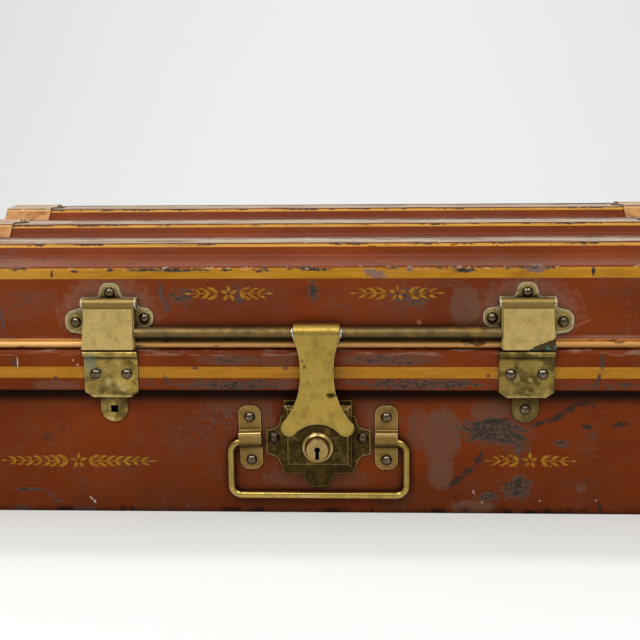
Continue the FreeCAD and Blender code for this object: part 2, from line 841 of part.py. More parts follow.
def hasp_steps():
    """Front outline (x, z) of the hasp's plate, from the head's right side round to its left."""
    flank = waist_curve_radius()
    flank_center = (hasp_half_waist + flank, hasp_waist_bottom)
    towards = unit(flank_center[0] - lobe_center, flank_center[1] - lobe_height)
    meet = (lobe_center + towards[0] * lobe_radius, lobe_height + towards[1] * lobe_radius)
    half_angle = math.atan2(flank_center[1] - meet[1], flank_center[0] - meet[0]) / 2
    flank_middle = (flank_center[0] - flank * math.cos(half_angle),
                    flank_center[1] - flank * math.sin(half_angle))
    inward = unit(arch_half_width - lobe_center, arch_foot_height - lobe_height)
    arch_foot = (lobe_center + inward[0] * lobe_radius, lobe_height + inward[1] * lobe_radius)
    outside = unit(-(towards[0] + inward[0]), -(towards[1] + inward[1]))
    lobe_middle = (lobe_center + outside[0] * lobe_radius, lobe_height + outside[1] * lobe_radius)
    shoulder_drop = hasp_head_bottom - hasp_waist_top
    widen = hasp_half_head - hasp_half_waist
    shoulder = (widen ** 2 + shoulder_drop ** 2) / (2 * widen)
    angle = math.asin(shoulder_drop / shoulder) / 2
    shoulder_middle = (hasp_half_waist + shoulder * (1 - math.cos(angle)),
                       hasp_waist_top + shoulder * math.sin(angle))
    right = [
        ((hasp_half_head, bar_height),),
        ((hasp_half_head, hasp_head_bottom),),
        (shoulder_middle, (hasp_half_waist, hasp_waist_top)),
        ((hasp_half_waist, hasp_waist_bottom),),
        (flank_middle, meet),
        (lobe_middle, arch_foot),
    ]
    left = [((-hasp_half_head, bar_height),)]
    for earlier, later in zip(right[::-1], right[::-1][1:]):
        end = (-later[-1][0], later[-1][1])
        if len(earlier) == 2:
            left_step = ((-earlier[0][0], earlier[0][1]), end)
        else:
            left_step = (end,)
        left.append(left_step)
    arch = ((0, arch_top_height), (-arch_foot[0], arch_foot[1]))
    return right + [arch] + left[1:] + [((hasp_half_head, bar_height),)]


def make_hasp():
    face = face_from(hasp_steps(), lambda x, z: vec(x, -hasp_back, z))
    flat = face.extrude(vec(0, -hasp_thickness, 0))
    knuckle = rod(-hasp_half_head, hasp_half_head, bar_out, bar_height, hasp_knuckle_radius)
    behind = block(-hasp_half_head - overrun, hasp_half_head + overrun, -hasp_knuckle_radius,
                   hasp_back_cut, bar_height - 2 * hasp_knuckle_radius,
                   bar_height + 2 * hasp_knuckle_radius)
    below = block(-hasp_half_head - overrun, hasp_half_head + overrun, -hasp_knuckle_radius,
                  bead_out + bead_radius + hasp_rim_gap, bar_height - 2 * hasp_knuckle_radius,
                  cove_height + hasp_rim_gap)
    knuckle = knuckle.cut([behind, below])
    bore = rod(-hasp_half_head - overrun, hasp_half_head + overrun, bar_out, bar_height,
               bar_radius + seam_gap / 2)
    hasp = cut_all(joined([flat, knuckle]), [bore])
    save("hasp", on_wall(hasp, front_wall))
    back = hasp_back - staple_depth
    base = block(-staple_half_width, staple_half_width, hasp_back - staple_base, hasp_back,
                 staple_low, staple_high)
    parts = [base]
    window_low = bolt_head_low() - bolt_window_clearance
    window_bottom = bolt_head_center - bolt_head_height / 2 - bolt_window_clearance
    windows = block(-staple_half_width - overrun, staple_half_width + overrun, window_low,
                    window_low + bolt_head_thickness + 2 * bolt_window_clearance, window_bottom,
                    window_bottom + bolt_head_height + 2 * bolt_window_clearance)
    for _, side in sides:
        center = side * staple_cheek_center
        parts.append(block(center - staple_cheek_thickness / 2, center + staple_cheek_thickness / 2,
                           back, hasp_back, staple_low, staple_high))
    staple = cut_all(joined(parts), [windows])
    save("hasp_staple", on_lock(staple))


def bolt_back():
    return brass + bolt_clearance


def bolt_head_low():
    return bolt_back() + bolt_bar_depth - bolt_head_thickness


def strike():
    """The right strike: plate on the band with a curled lip, and the tongue on the wall below."""
    half = strike_width / 2
    left = clasp_center - half
    right = clasp_center + half
    outline = [
        (left, strike_top),
        (left, strike_bottom + strike_chamfer_height),
        (left + strike_chamfer_width, strike_bottom),
        (right - strike_chamfer_width, strike_bottom),
        (right, strike_bottom + strike_chamfer_height),
        (right, strike_top),
    ]
    lip_out = band_proud + strike_lip_reach
    curl = [
        (band_proud, strike_bottom),
        (band_proud, strike_top, strike_bend_radius),
        (lip_out, strike_top, strike_lip_radius),
        (lip_out, strike_top - strike_lip_height),
    ]
    section = sheet_corners(curl, -brass)
    face = strip(section, left, right).common(plate(outline, 0, lip_out + overrun)).Solids[0]
    tongue_left = clasp_center - strike_tongue_half_width
    tongue_right = clasp_center + strike_tongue_half_width
    web_top = band_bottom - strike_web_drop
    tongue = [
        (tongue_left, web_top),
        (tongue_left, strike_tongue_bottom, strike_tongue_half_width - seam_gap),
        (tongue_right, strike_tongue_bottom, strike_tongue_half_width - seam_gap),
        (tongue_right, web_top),
    ]
    parts = [
        face,
        block(tongue_left, tongue_right, 0, strike_face, web_top - brass, web_top),
        plate(tongue, 0, brass),
    ]
    half_hole = tongue_hole / 2
    square = block(clasp_center - half_hole, clasp_center + half_hole, -overrun, overrun,
                   tongue_rivet_height - half_hole, tongue_rivet_height + half_hole)
    return cut_all(joined(parts), rivet_holes(strike_sites) + [square])


def make_strikes():
    for name, side in sides:
        save("strike_" + name, on_wall(mirrored(strike(), side), front_wall))
    save("strike_rivets", *rivets_at(both_strike_sites + [tongue_site], front_wall))


def keyhole():
    """Keyhole outline (x, z) swept through the boss and the case's front."""
    drop = math.sqrt(keyhole_radius ** 2 - keyhole_half_neck ** 2)
    steps = [
        ((keyhole_half_neck, keyhole_rise - drop),),
        ((0, keyhole_rise + keyhole_radius), (-keyhole_half_neck, keyhole_rise - drop)),
        ((-keyhole_half_foot, keyhole_bottom),),
        ((keyhole_half_foot, keyhole_bottom),),
        ((keyhole_half_neck, keyhole_rise - drop),),
    ]
    face = face_from(steps, lambda x, z: vec(x, -(case_proud - case_wall - overrun), z))
    return face.extrude(vec(0, -(boss_depth + case_wall + 2 * overrun), 0))


def backplate_corners():
    right = [
        (backplate_half_width, backplate_top, ear_corner_radius),
        (backplate_half_width, scallop_top),
        (backplate_half_width + scallop_top_inset, scallop_top),
        (scallop_reach, scallop_top - scallop_depth, scallop_radius),
        (lock_ear_reach, lock_ear_top, ear_corner_radius),
        (lock_ear_reach, lock_ear_bottom, ear_corner_radius),
        (scallop_reach + ear_corner_radius, scallop_foot + scallop_depth, scallop_radius),
        (backplate_half_width + scallop_top_inset, scallop_foot),
        (backplate_half_width, backplate_bottom, ear_corner_radius),
        (base_ear_half_width, backplate_bottom, ear_corner_radius),
        (base_ear_half_width, base_ear_bottom, base_ear_radius),
    ]
    left = [(-corner[0],) + tuple(corner[1:]) for corner in right[::-1]]
    return right + left


def make_lock():
    backplate = cut_all(plate(backplate_corners(), 0, brass), rivet_holes(lock_sites))
    save("lock_backplate", on_lock(backplate))
    shell = block(-case_half_width, case_half_width, brass, case_proud, case_bottom, case_top)
    front_edges = [edge for edge in shell.Edges
                   if all(abs(vertex.Point.y + case_proud) < seam_gap for vertex in edge.Vertexes)]
    shell = shell.makeChamfer(case_bevel, front_edges)
    inner = block(-case_half_width + case_wall, case_half_width - case_wall, 0, case_proud - case_wall,
                  case_bottom + case_wall, case_top - case_wall)
    inner_edges = [edge for edge in inner.Edges
                   if all(abs(vertex.Point.y + case_proud - case_wall) < seam_gap
                          for vertex in edge.Vertexes)]
    inner = inner.makeChamfer(case_bevel - case_wall / 2, inner_edges)
    mouth = block(-mouth_half_width, mouth_half_width, mouth_back, case_proud + overrun,
                  mouth_bottom, case_top + overrun)
    case = cut_all(shell, [inner, mouth, keyhole()])
    save("lock_case", on_lock(case))
    save("lock_rivets", *rivets_at(front_lock_sites, front_wall))
    ring_end = case_proud + boss_base_depth + boss_ring_depth
    front = case_proud + boss_depth
    profile = [
        (0, case_proud),
        (boss_base_radius, case_proud),
        (boss_base_radius, case_proud + boss_base_depth, boss_rounding),
        (boss_ring_radius, case_proud + boss_base_depth, boss_rounding),
        (boss_ring_radius, ring_end, boss_rounding),
        (boss_neck_radius, ring_end + boss_step, boss_rounding),
        (boss_front_radius + boss_step, front - 2 * boss_step, boss_rounding),
        (boss_front_radius, front, boss_rounding),
        (0, front),
    ]
    face = face_from(rounded_steps(profile), lambda radius, out: vec(radius, -out, 0))
    boss = face.revolve(ORIGIN, Y_AXIS, full_turn)
    save("keyhole_boss", on_lock(cut_all(boss, [keyhole()])))


def make_bolt():
    back = bolt_back()
    bar_right = -bolt_left + bolt_bar_width
    head_low = bolt_head_low()
    bolt = joined([
        block(-bolt_left, bar_right, back, back + bolt_bar_depth, bolt_bar_bottom, bolt_bar_top),
        block(bar_right - seam_gap, -bolt_tip, head_low, head_low + bolt_head_thickness,
              bolt_head_center - bolt_head_height / 2, bolt_head_center + bolt_head_height / 2),
        block(bar_right - seam_gap, -bolt_foot_tip, back, back + bolt_foot_depth,
              bolt_bar_bottom, bolt_bar_bottom + bolt_foot_height),
    ])
    save("lock_bolt", on_lock(bolt))
    anchor_left = -case_half_width + case_wall
    anchor_bottom = case_bottom + case_wall
    crest = bolt_bar_bottom - bolt_clearance
    start = anchor_left + spring_anchor_width / 2
    middle = start + spring_half_span
    end = middle + spring_half_span
    foot = crest - spring_rise
    steps = [
        ((start, foot),),
        ((middle, crest), (end, foot)),
        ((end - spring_thickness, foot),),
        ((middle, crest - spring_thickness), (start + spring_thickness, foot)),
        ((start, foot),),
    ]
    bow = face_from(steps, lambda x, z: vec(x, -brass, z)).extrude(vec(0, -spring_width, 0))
    anchor = block(anchor_left, anchor_left + spring_anchor_width, brass, brass + spring_width,
                   anchor_bottom, foot + 2 * spring_thickness)
    save("lock_spring", on_lock(joined([bow, anchor])))


def bail():
    """A bent wire handle hanging in its clips, in the wall's frame."""
    end = clip_center - clip_width / 2 + clip_hook_inset
    low = bail_axis_height - bail_drop
    corners = [
        (end, bail_axis_height),
        (bail_half_width, bail_axis_height, bail_corner_radius),
        (bail_half_width, low, bail_corner_radius),
        (-bail_half_width, low, bail_corner_radius),
        (-bail_half_width, bail_axis_height, bail_corner_radius),
        (-end, bail_axis_height),
    ]
    steps = rounded_steps(corners)[:-1]
    path = Part.Wire(edges_of(steps, lambda x, z: vec(x, -wire_out, z)))
    circle = Part.Wire([Part.makeCircle(wire_radius, vec(end, -wire_out, bail_axis_height), X_AXIS)])
    return Part.Wire(path).makePipeShell([circle], True, False)


def clip(lean):
    """A strap over the bail's hook, centred at x = 0, with its rivet holes."""
    half = clip_width / 2
    low = bail_axis_height - clip_pocket_low
    high = bail_axis_height + clip_pocket_high
    pocket = wire_out + wire_radius + clip_front_gap
    front = pocket + brass
    section = [
        (brass, clip_bottom),
        (brass, low - brass, clip_bend_radius),
        (front, low - brass, clip_pocket_radius + brass),
        (front, high + brass, clip_upper_radius),
        (brass, high + brass, clip_bend_radius),
        (brass, clip_top),
        (0, clip_top),
        (0, high),
        (pocket, high, clip_upper_radius / 2),
        (pocket, low, clip_pocket_radius),
        (0, low),
        (0, clip_bottom),
    ]
    outline = [(-half, clip_bottom, clip_end_radius), (half, clip_bottom, clip_end_radius),
               (half, clip_top, clip_end_radius), (-half, clip_top, clip_end_radius)]
    shape = strip(section, -half, half).common(plate(outline, -overrun, front + 2 * overrun))
    shape = shape.Solids[0]
    shape = cut_all(shape, rivet_holes(clip_rivet_sites(0)))
    shape.rotate(vec(0, 0, bail_axis_height), Y_AXIS, -lean)
    return shape


def make_handles():
    for name, x, lean in front_clips:
        strap = clip(lean)
        strap.translate(vec(x, 0, 0))
        save("bail_clip_" + name, on_wall(strap, front_wall))
    save("bail_clip_rivets", *rivets_at(front_clip_sites, front_wall))
    save("front_bail", on_wall(bail(), front_wall))
    end_rivets = []
    for name, wall in (("left", left_wall), ("right", right_wall)):
        straps = []
        for _, side in sides:
            strap = clip(0)
            strap.translate(vec(side * clip_center, 0, 0))
            straps.append(on_wall(strap, wall))
        save("end_clips_" + name, *straps)
        save(name + "_end_bail", on_wall(bail(), wall))
        end_rivets += rivets_at(end_clip_sites, wall)
    save("end_clip_rivets", *end_rivets)


def hinge_knuckles(x, middle):
    """Knuckle ranges of one leaf: the middle one, or the two outer ones."""
    half = hinge_middle_width / 2
    if middle:
        return [(x - half, x + half)]
    inner = half + hinge_end_gap
    return [(x - hinge_width / 2, x - inner), (x + inner, x + hinge_width / 2)]


def hinge_bore(x):
    return rod(x - hinge_width, x + hinge_width, hinge_out, base_height,
               hinge_pin_radius + running_clearance)


def base_leaf(x):
    left = x - hinge_width / 2
    right = x + hinge_width / 2
    outline = [
        (left, hinge_base_leaf_bottom, hinge_corner_radius),
        (right, hinge_base_leaf_bottom, hinge_corner_radius),
        (right, base_height),
        (left, base_height),
    ]
    parts = [plate(outline, band_proud, hinge_leaf)]
    for start, end in hinge_knuckles(x, False):
        parts.append(rod(start, end, hinge_out, base_height, hinge_knuckle_radius))
    start, end = hinge_knuckles(x, True)[0]
    swing = rod(start - hinge_end_gap, end + hinge_end_gap, hinge_out, base_height,
                hinge_knuckle_radius + hinge_end_gap)
    sites = shifted(hinge_sites(hinge_base_rivet_height, base_hinge_seat), x)
    return cut_all(joined(parts), [swing, hinge_bore(x)] + rivet_holes(sites))


def lid_leaf(x):
    left = x - hinge_width / 2
    right = x + hinge_width / 2
    web = base_height + hinge_lid_web_height
    outline = [
        (left, web, 0),
        (right, web, 0),
        (right, hinge_lid_leaf_top, hinge_corner_radius),
        (left, hinge_lid_leaf_top, hinge_corner_radius),
    ]
    start, end = hinge_knuckles(x, True)[0]
    riser_out = hinge_out - hinge_leaf / 2
    parts = [
        plate(outline, 0, hinge_leaf),
        block(left, right, 0, riser_out + hinge_leaf, web, web + hinge_leaf),
        block(start, end, riser_out, riser_out + hinge_leaf, base_height, web + hinge_leaf),
        rod(start, end, hinge_out, base_height, hinge_knuckle_radius),
    ]
    sites = shifted(hinge_sites(hinge_lid_rivet_height, hinge_leaf), x)
    return cut_all(joined(parts), [hinge_bore(x)] + rivet_holes(sites))


def make_hinges():
    pins = []
    for name, side in sides:
        x = -side * hinge_center
        save("hinge_base_leaf_" + name, on_wall(base_leaf(x), back_wall))
        save("hinge_lid_leaf_" + name, on_wall(lid_leaf(x), back_wall))
        pin = rod(x - hinge_width / 2, x + hinge_width / 2, hinge_out, base_height, hinge_pin_radius)
        pins.append(on_wall(pin, back_wall))
    save("hinge_pins", *pins)
    save("hinge_base_rivets", *rivets_at(base_hinge_sites, back_wall))
    save("hinge_lid_rivets", *rivets_at(lid_hinge_sites, back_wall))


os.makedirs("parts", exist_ok=True)
make_base()
make_lid()
make_ribs()
make_clasps()
make_bar()
make_hasp()
make_strikes()
make_lock()
make_bolt()
make_handles()
make_hinges()
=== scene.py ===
"""Looks of the ship trunk: worn enamel, aged brass, painted lines and soft studio light.

Places on the trunk are in the row's frame. Geometry is in metres. Surface patterns are laid out in
millimetres, so sizes and places given to a Surface are in millimetres too.
"""
import math

import bmesh
import bpy
from mathutils import Matrix, Vector


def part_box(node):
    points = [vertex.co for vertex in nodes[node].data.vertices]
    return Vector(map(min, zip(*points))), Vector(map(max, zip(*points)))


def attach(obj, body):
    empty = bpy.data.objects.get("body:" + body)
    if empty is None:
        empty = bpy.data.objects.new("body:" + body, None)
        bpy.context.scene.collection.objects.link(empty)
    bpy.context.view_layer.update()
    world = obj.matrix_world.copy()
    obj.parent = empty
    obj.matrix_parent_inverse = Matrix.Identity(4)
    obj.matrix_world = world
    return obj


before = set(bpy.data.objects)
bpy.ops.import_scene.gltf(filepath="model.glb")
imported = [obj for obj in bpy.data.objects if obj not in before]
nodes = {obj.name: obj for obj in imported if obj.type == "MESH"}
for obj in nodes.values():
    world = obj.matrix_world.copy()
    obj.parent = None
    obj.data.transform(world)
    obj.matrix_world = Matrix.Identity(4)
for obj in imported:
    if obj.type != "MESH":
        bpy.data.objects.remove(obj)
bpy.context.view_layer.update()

MM = 0.001
scene = bpy.context.scene

# Levels and faces of the trunk, read from the frame
wall_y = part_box("lock_backplate")[1].y
plate_face_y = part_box("lock_backplate")[0].y
lid_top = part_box("lid_top_panel")[1].z
rib_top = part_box("lid_rib_front")[1].z
bar_low, bar_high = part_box("fastening_bar")
lid_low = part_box("lid_front_rim")[0].z

# Places on the front, in millimetres
front_depth = 8
knuckle_height = 7.6
roll_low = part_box("clasp_lever_right")[1].z / MM - knuckle_height
bead_low = lid_low / MM
band_foot = 99
band_corner = (126, 131.5)
strike_lip = (123.4, 126.5)
strike_tongue_length = 20.8
lid_edge_bend = 1.4
hasp_left_edge = (-14.5, -9.5)
hasp_waist = (108, 134)
lower_shade_top = 40
foot_shade_top = 7
dull_bead = (172, 188)
left_light_span = (-150, -240)

# Painted lines and the ribs' flat tops, in millimetres
band_line_low = 108.9
band_line_high = 117.6
bead_paint_top = 138.2
line_softness = 0.35
rib_line_drop = 3.1
rib_rise = 10.0
rib_run = 11.6
rib_kept = 10.0
rub_lean = 0.012

# Dark stain on the right lever: where it starts, a place on its sloping edge, and the slope
stain_left = 150
stain_x = 156
stain_z = 131
stain_slope = 0.46

# Blue-green crust on the stain: its slope, and the heights where it is missing and full
blue_slope = 0.16
blue_heights = (109, 104)


def srgb(red, green, blue):
    """A colour as it looks on a screen, 0 to 255, as the shader's linear colour."""
    channels = []
    for value in (red, green, blue):
        share = value / 255
        channels.append(share / 12.92 if share <= 0.04045 else ((share + 0.055) / 1.055) ** 2.4)
    return (*channels, 1.0)


# Enamel
BROWN = srgb(103, 42, 9)
BROWN_ORANGE = srgb(116, 48, 9)
BROWN_DEEP = srgb(80, 34, 10)
MAUVE = srgb(102, 66, 50)
OCHRE = srgb(164, 112, 30)
OCHRE_LIGHT = srgb(194, 140, 58)
OCHRE_BROWN = srgb(138, 84, 24)
OCHRE_BRIGHT = srgb(172, 120, 30)
BEAD_HIGHLIGHT = srgb(240, 192, 126)
BEAD_PAINT = srgb(194, 130, 66)
PRIMER = srgb(82, 68, 58)
BARE_IRON = srgb(48, 40, 34)
# Pale colour of scuffs, also used for painted highlights on the band's corner, above the bead and on the
# top's left end
SCUFF_AND_SHEEN = srgb(150, 122, 104)
TINNED = srgb(192, 168, 138)
CHALK = srgb(214, 204, 190)
PINK_SPOT = srgb(176, 108, 88)
# Near-black painted shade: in crevices, under the band, along the foot of the walls and under the bar
SHADE_BLACK = srgb(16, 9, 6)
NICK_GREY = srgb(66, 56, 50)
TRAIL_GREY = srgb(76, 66, 62)
LINE_MAUVE = srgb(124, 96, 86)
CRUMB_PALE = srgb(196, 172, 138)
FLAT_BROWN = srgb(132, 98, 74)
CAP_OCHRE = srgb(184, 132, 76)
CAP_BROWN = srgb(140, 86, 46)
CAP_YELLOW = srgb(170, 114, 50)
CAP_LINE = srgb(214, 166, 104)
LEAF_OCHRE = srgb(156, 108, 24)
LEAF_BROWN = srgb(136, 84, 22)

# Brass
BRASS = srgb(162, 136, 72)
BRASS_PALE = srgb(214, 188, 120)
BRASS_GOLD = srgb(176, 140, 62)
BRASS_OLIVE = srgb(120, 100, 54)
BRASS_BROWN = srgb(86, 66, 36)
BRASS_DARK = srgb(50, 38, 20)
COPPER_PINK = srgb(142, 104, 74)
VERDIGRIS = srgb(58, 100, 104)
VERDIGRIS_PALE = srgb(112, 124, 104)
CLASP_BRASS = srgb(158, 136, 86)
CLASP_CRUST = srgb(206, 194, 160)
CLIP_BRASS = srgb(140, 112, 58)
CLIP_HIGHLIGHT = srgb(206, 172, 112)
FLAP_BRASS = srgb(208, 180, 112)
STRIKE_BRASS = srgb(164, 140, 72)
STRIKE_DARK = srgb(84, 70, 36)
HASP_BRASS = srgb(180, 150, 70)
HASP_BRIGHT = srgb(184, 156, 76)
BAR_BRASS = srgb(116, 96, 62)
BAR_EDGE = srgb(134, 110, 70)
BAR_BRIGHT = srgb(136, 110, 60)
BAIL_BRASS = srgb(206, 174, 92)
LOCK_BRASS = srgb(66, 52, 25)
LOCK_EDGE = srgb(120, 98, 50)
LOCK_DARK = srgb(38, 28, 14)
LOCK_BORDER = srgb(180, 150, 84)
BOSS_BRASS = srgb(196, 164, 104)
BOSS_STAIN = srgb(126, 98, 58)
BOSS_EDGE = srgb(204, 170, 112)

# Bronze, steel and solder
BRONZE = srgb(108, 96, 78)
BRONZE_BRIGHT = srgb(146, 132, 110)
BRONZE_DULL = srgb(88, 78, 66)
LOCK_BRONZE = srgb(84, 66, 46)
STEEL = srgb(112, 104, 96)
STEEL_RUST = srgb(86, 66, 52)
SOLDER = srgb(214, 212, 206)
SOLDER_DULL = srgb(150, 146, 138)

# Stage
BACKDROP = srgb(226, 227, 225)
WHITE = (1, 1, 1, 1)


class Surface:
    """A material built up in layers over its ground: colour, roughness, metal and relief in mm."""

    def __init__(self, name, ground, rough, metal=0.0, gloss=0.5):
        self.material = bpy.data.materials.new(name)
        self.material.use_nodes = True
        self.tree = self.material.node_tree
        self.inputs = self.tree.nodes["Principled BSDF"].inputs
        self.inputs["Specular IOR Level"].default_value = gloss
        self.colour = ground
        self.rough = rough
        self.metal = metal
        self.relief = 0.0
        spots = self.add("ShaderNodeTexCoord").outputs
        self.metres = spots["Object"]
        self.facing = self.add("ShaderNodeSeparateXYZ", {0: spots["Normal"]}).outputs[2]
        self.place = self.add("ShaderNodeVectorMath", {0: self.metres, 1: (1 / MM, 1 / MM, 1 / MM)},
                              operation="MULTIPLY").outputs[0]
        split = self.add("ShaderNodeSeparateXYZ", {0: self.place})
        self.x, self.y, self.z = split.outputs
        self.front = self.maths("LESS_THAN", self.y, wall_y / MM + front_depth)

    def add(self, kind, inputs=None, **settings):
        node = self.tree.nodes.new(kind)
        for name, value in settings.items():
            setattr(node, name, value)
        for socket, value in (inputs or {}).items():
            self.put(node.inputs[socket], value)
        return node

    def put(self, socket, value):
        if isinstance(value, bpy.types.NodeSocket):
            self.tree.links.new(value, socket)
        else:
            socket.default_value = value

    def maths(self, operation, first, second=0.0):
        return self.add("ShaderNodeMath", {0: first, 1: second}, operation=operation).outputs[0]

    def joined(self, operation, masks):
        result = masks[0]
        for mask in masks[1:]:
            result = self.maths(operation, result, mask)
        return result

    def times(self, *masks):
        return self.joined("MULTIPLY", masks)

    def most(self, *masks):
        return self.joined("MAXIMUM", masks)

    def plus(self, first, second):
        return self.maths("ADD", first, second)

    def ramp(self, value, low, high):
        """Goes smoothly from 0 where value is low to 1 where it is high."""
        return self.add("ShaderNodeMapRange", {"Value": value, "From Min": low, "From Max": high},
                        interpolation_type="SMOOTHSTEP").outputs[0]

    def between(self, value, low, high, soft=line_softness):
        """1 between two values, fading over a softness at each end."""
        rising = self.ramp(value, low - soft, low + soft)
        falling = self.ramp(value, high + soft, high - soft)
        return self.times(rising, falling)

    def scaled(self, size, shift):
        sizes = size if isinstance(size, tuple) else (size, size, size)
        return self.add("ShaderNodeMapping", {"Vector": self.metres, "Location": (shift, shift, shift),
                                              "Scale": tuple(1 / (one * MM) for one in sizes)}).outputs[0]

    def noise(self, size, detail=3.0, rough=0.55, shift=0.0):
        """Cloudy values around a half; size is that of the clouds, one number or one for each axis."""
        return self.add("ShaderNodeTexNoise", {"Vector": self.scaled(size, shift), "Scale": 1.0,
                                               "Detail": detail, "Roughness": rough}).outputs[0]

    def clouds(self, size, low, high, **noise):
        """A cloudy mask: 0 where the noise lies under low, 1 where it lies over high."""
        return self.ramp(self.noise(size, **noise), low, high)

    def specks(self, spacing, radius, share, shift=0.0):
        """Round specks in a share of the cells of that spacing."""
        cells = self.add("ShaderNodeTexVoronoi", {"Vector": self.scaled(spacing, shift), "Scale": 1.0})
        near = self.ramp(cells.outputs["Distance"], radius / spacing, radius / spacing / 2)
        chosen = self.add("ShaderNodeSeparateXYZ", {0: cells.outputs["Color"]}).outputs[0]
        return self.times(near, self.maths("LESS_THAN", chosen, share))

    def reach(self, x, z, half_x, half_z, tilt):
        """How far out a place lies from (x, z): 1 on the oval with these half sizes."""
        if not tilt:
            offset = self.add("ShaderNodeVectorMath", {0: self.place, 1: (1 / half_x, 0, 1 / half_z),
                                                       2: (-x / half_x, 0, -z / half_z)},
                              operation="MULTIPLY_ADD").outputs[0]
            return self.add("ShaderNodeVectorMath", {0: offset}, operation="LENGTH").outputs["Value"]
        squares = []
        for across, up, half in ((math.cos(tilt), math.sin(tilt), half_x),
                                 (-math.sin(tilt), math.cos(tilt), half_z)):
            line_up = self.add("ShaderNodeVectorMath", {0: self.place, 1: (across / half, 0, up / half)},
                               operation="DOT_PRODUCT").outputs["Value"]
            offset = self.plus(line_up, -(x * across + z * up) / half)
            squares.append(self.times(offset, offset))
        return self.maths("SQRT", self.plus(*squares))

    def patches(self, places, soft=0.25, ragged=0.5, grain=9):
        """The strongest of several ragged ovals on the front.

        Each is (x, z, half_x, half_z, strength), and may add a tilt in degrees.
        """
        torn = self.times(self.plus(self.noise(grain, detail=4.0, shift=places[0][0]), -0.5), ragged * 2)
        strongest = 0.0
        for x, z, half_x, half_z, strength, *tilt in places:
            reach = self.reach(x, z, half_x, half_z, math.radians(tilt[0]) if tilt else 0.0)
            inside = self.add("ShaderNodeMapRange", {"Value": self.plus(reach, torn), "From Min": 1 + soft,
                                                     "From Max": 1 - soft, "To Max": strength}).outputs[0]
            strongest = inside if strongest == 0.0 else self.most(strongest, inside)
        return self.times(strongest, self.front)

    def edges(self, width):
        """1 along the edges of the shape, within about that width."""
        rounded = self.add("ShaderNodeBevel", {"Radius": width * MM}, samples=4).outputs[0]
        straight = self.add("ShaderNodeNewGeometry").outputs["Normal"]
        level = self.add("ShaderNodeVectorMath", {0: rounded, 1: straight}, operation="DOT_PRODUCT")
        return self.ramp(level.outputs["Value"], 0.99, 0.86)

    def crevices(self, reach):
        """1 in corners and beside what stands on the surface, within about that reach."""
        light = self.add("ShaderNodeAmbientOcclusion", {"Distance": reach * MM}, samples=6)
        return self.ramp(light.outputs["AO"], 0.93, 0.42)

    def lay(self, mask, colour=None, rough=None, metal=None, rise=None):
        """Lays a coat over what is there, as thick as the mask says. Several masks are multiplied."""
        if isinstance(mask, tuple):
            mask = self.times(*mask)
        if colour is not None:
            mixed = self.add("ShaderNodeMix", {0: mask, 6: self.colour, 7: colour}, data_type="RGBA")
            self.colour = mixed.outputs[2]
        if rough is not None:
            self.rough = self.add("ShaderNodeMix", {0: mask, 2: self.rough, 3: rough}).outputs[0]
        if metal is not None:
            self.metal = self.add("ShaderNodeMix", {0: mask, 2: self.metal, 3: metal}).outputs[0]
        if rise is not None:
            self.relief = self.plus(self.relief, self.times(mask, rise))

    def done(self):
        bump = self.add("ShaderNodeBump", {"Height": self.relief, "Distance": MM, "Strength": 1.0})
        self.put(self.inputs["Base Color"], self.colour)
        self.put(self.inputs["Roughness"], self.rough)
        self.put(self.inputs["Metallic"], self.metal)
        self.put(self.inputs["Normal"], bump.outputs[0])
        return self.material


# Enamelled sheet

def enamel(name, ground=BROWN, dulled=0.35, gloss=0.1):
    """Brown-red enamel, brushed on, dulled in clouds and streaks, with small dents."""
    paint = Surface(name, ground, 0.32, gloss=gloss)
    paint.lay(paint.clouds(120, 0.42, 0.66, detail=2.0), BROWN_ORANGE)
    streaks = paint.clouds((80, 80, 14), 0.5, 0.75, detail=5.0, shift=3.0)
    paint.lay((streaks, 0.4), BROWN_DEEP, rough=0.48)
    haze = paint.clouds((34, 34, 22), 0.55, 0.74, detail=5.0, rough=0.62, shift=7.0)
    paint.lay((haze, dulled), MAUVE, rough=0.52)
    dashes = paint.clouds((5, 5, 0.8), 0.6, 0.68, detail=5.0, rough=0.7, shift=19.0)
    gathered = paint.clouds(30, 0.36, 0.6, detail=2.0, shift=11.0)
    paint.lay((dashes, gathered, 0.34), SCUFF_AND_SHEEN, rough=0.5)
    pitted = paint.clouds((2.2, 2.2, 1.2), 0.6, 0.7, detail=4.0, shift=27.0)
    paint.lay((pitted, 0.4), BROWN_DEEP)
    paint.lay(paint.noise((60, 60, 2.4), detail=4.0, shift=5.0), rise=0.05)
    paint.lay(paint.noise(1.3, detail=2.0), rise=0.012)
    paint.lay(paint.noise(70, detail=1.0, shift=9.0), rise=0.9)
    return paint


def line(paint, mask, colour=OCHRE):
    """A painted line, a little uneven and rubbed through."""
    paint.lay(mask, colour, rough=0.33, rise=0.04)
    mottle = paint.clouds((26, 26, 5), 0.45, 0.72, detail=4.0, shift=1.5)
    paint.lay((mask, mottle, 0.5), OCHRE_BROWN)
    rubs = paint.clouds((40, 40, 3), 0.52, 0.7, shift=6.5)
    paint.lay((mask, rubs, 0.5), OCHRE_LIGHT)


def chipped(paint, region):
    """Enamel worn through to grey primer and iron, more so where the region is strong."""
    fine = paint.noise((4.8, 4.8, 2.2), detail=7.0, rough=0.75, shift=2.0)
    depth = paint.plus(fine, paint.times(region, 0.3))
    worn = paint.ramp(depth, 0.69, 0.74)
    paint.lay((paint.ramp(depth, 0.6, 0.7), 0.35), MAUVE)
    paint.lay(paint.ramp(fine, 0.56, 0.66), rise=-0.04)
    paint.lay(worn, PRIMER, rough=0.62)
    deep = paint.ramp(depth, 0.72, 0.8)
    grain = paint.clouds(2.2, 0.36, 0.54, detail=4.0, shift=4.0)
    paint.lay((deep, grain), BARE_IRON, rough=0.5)


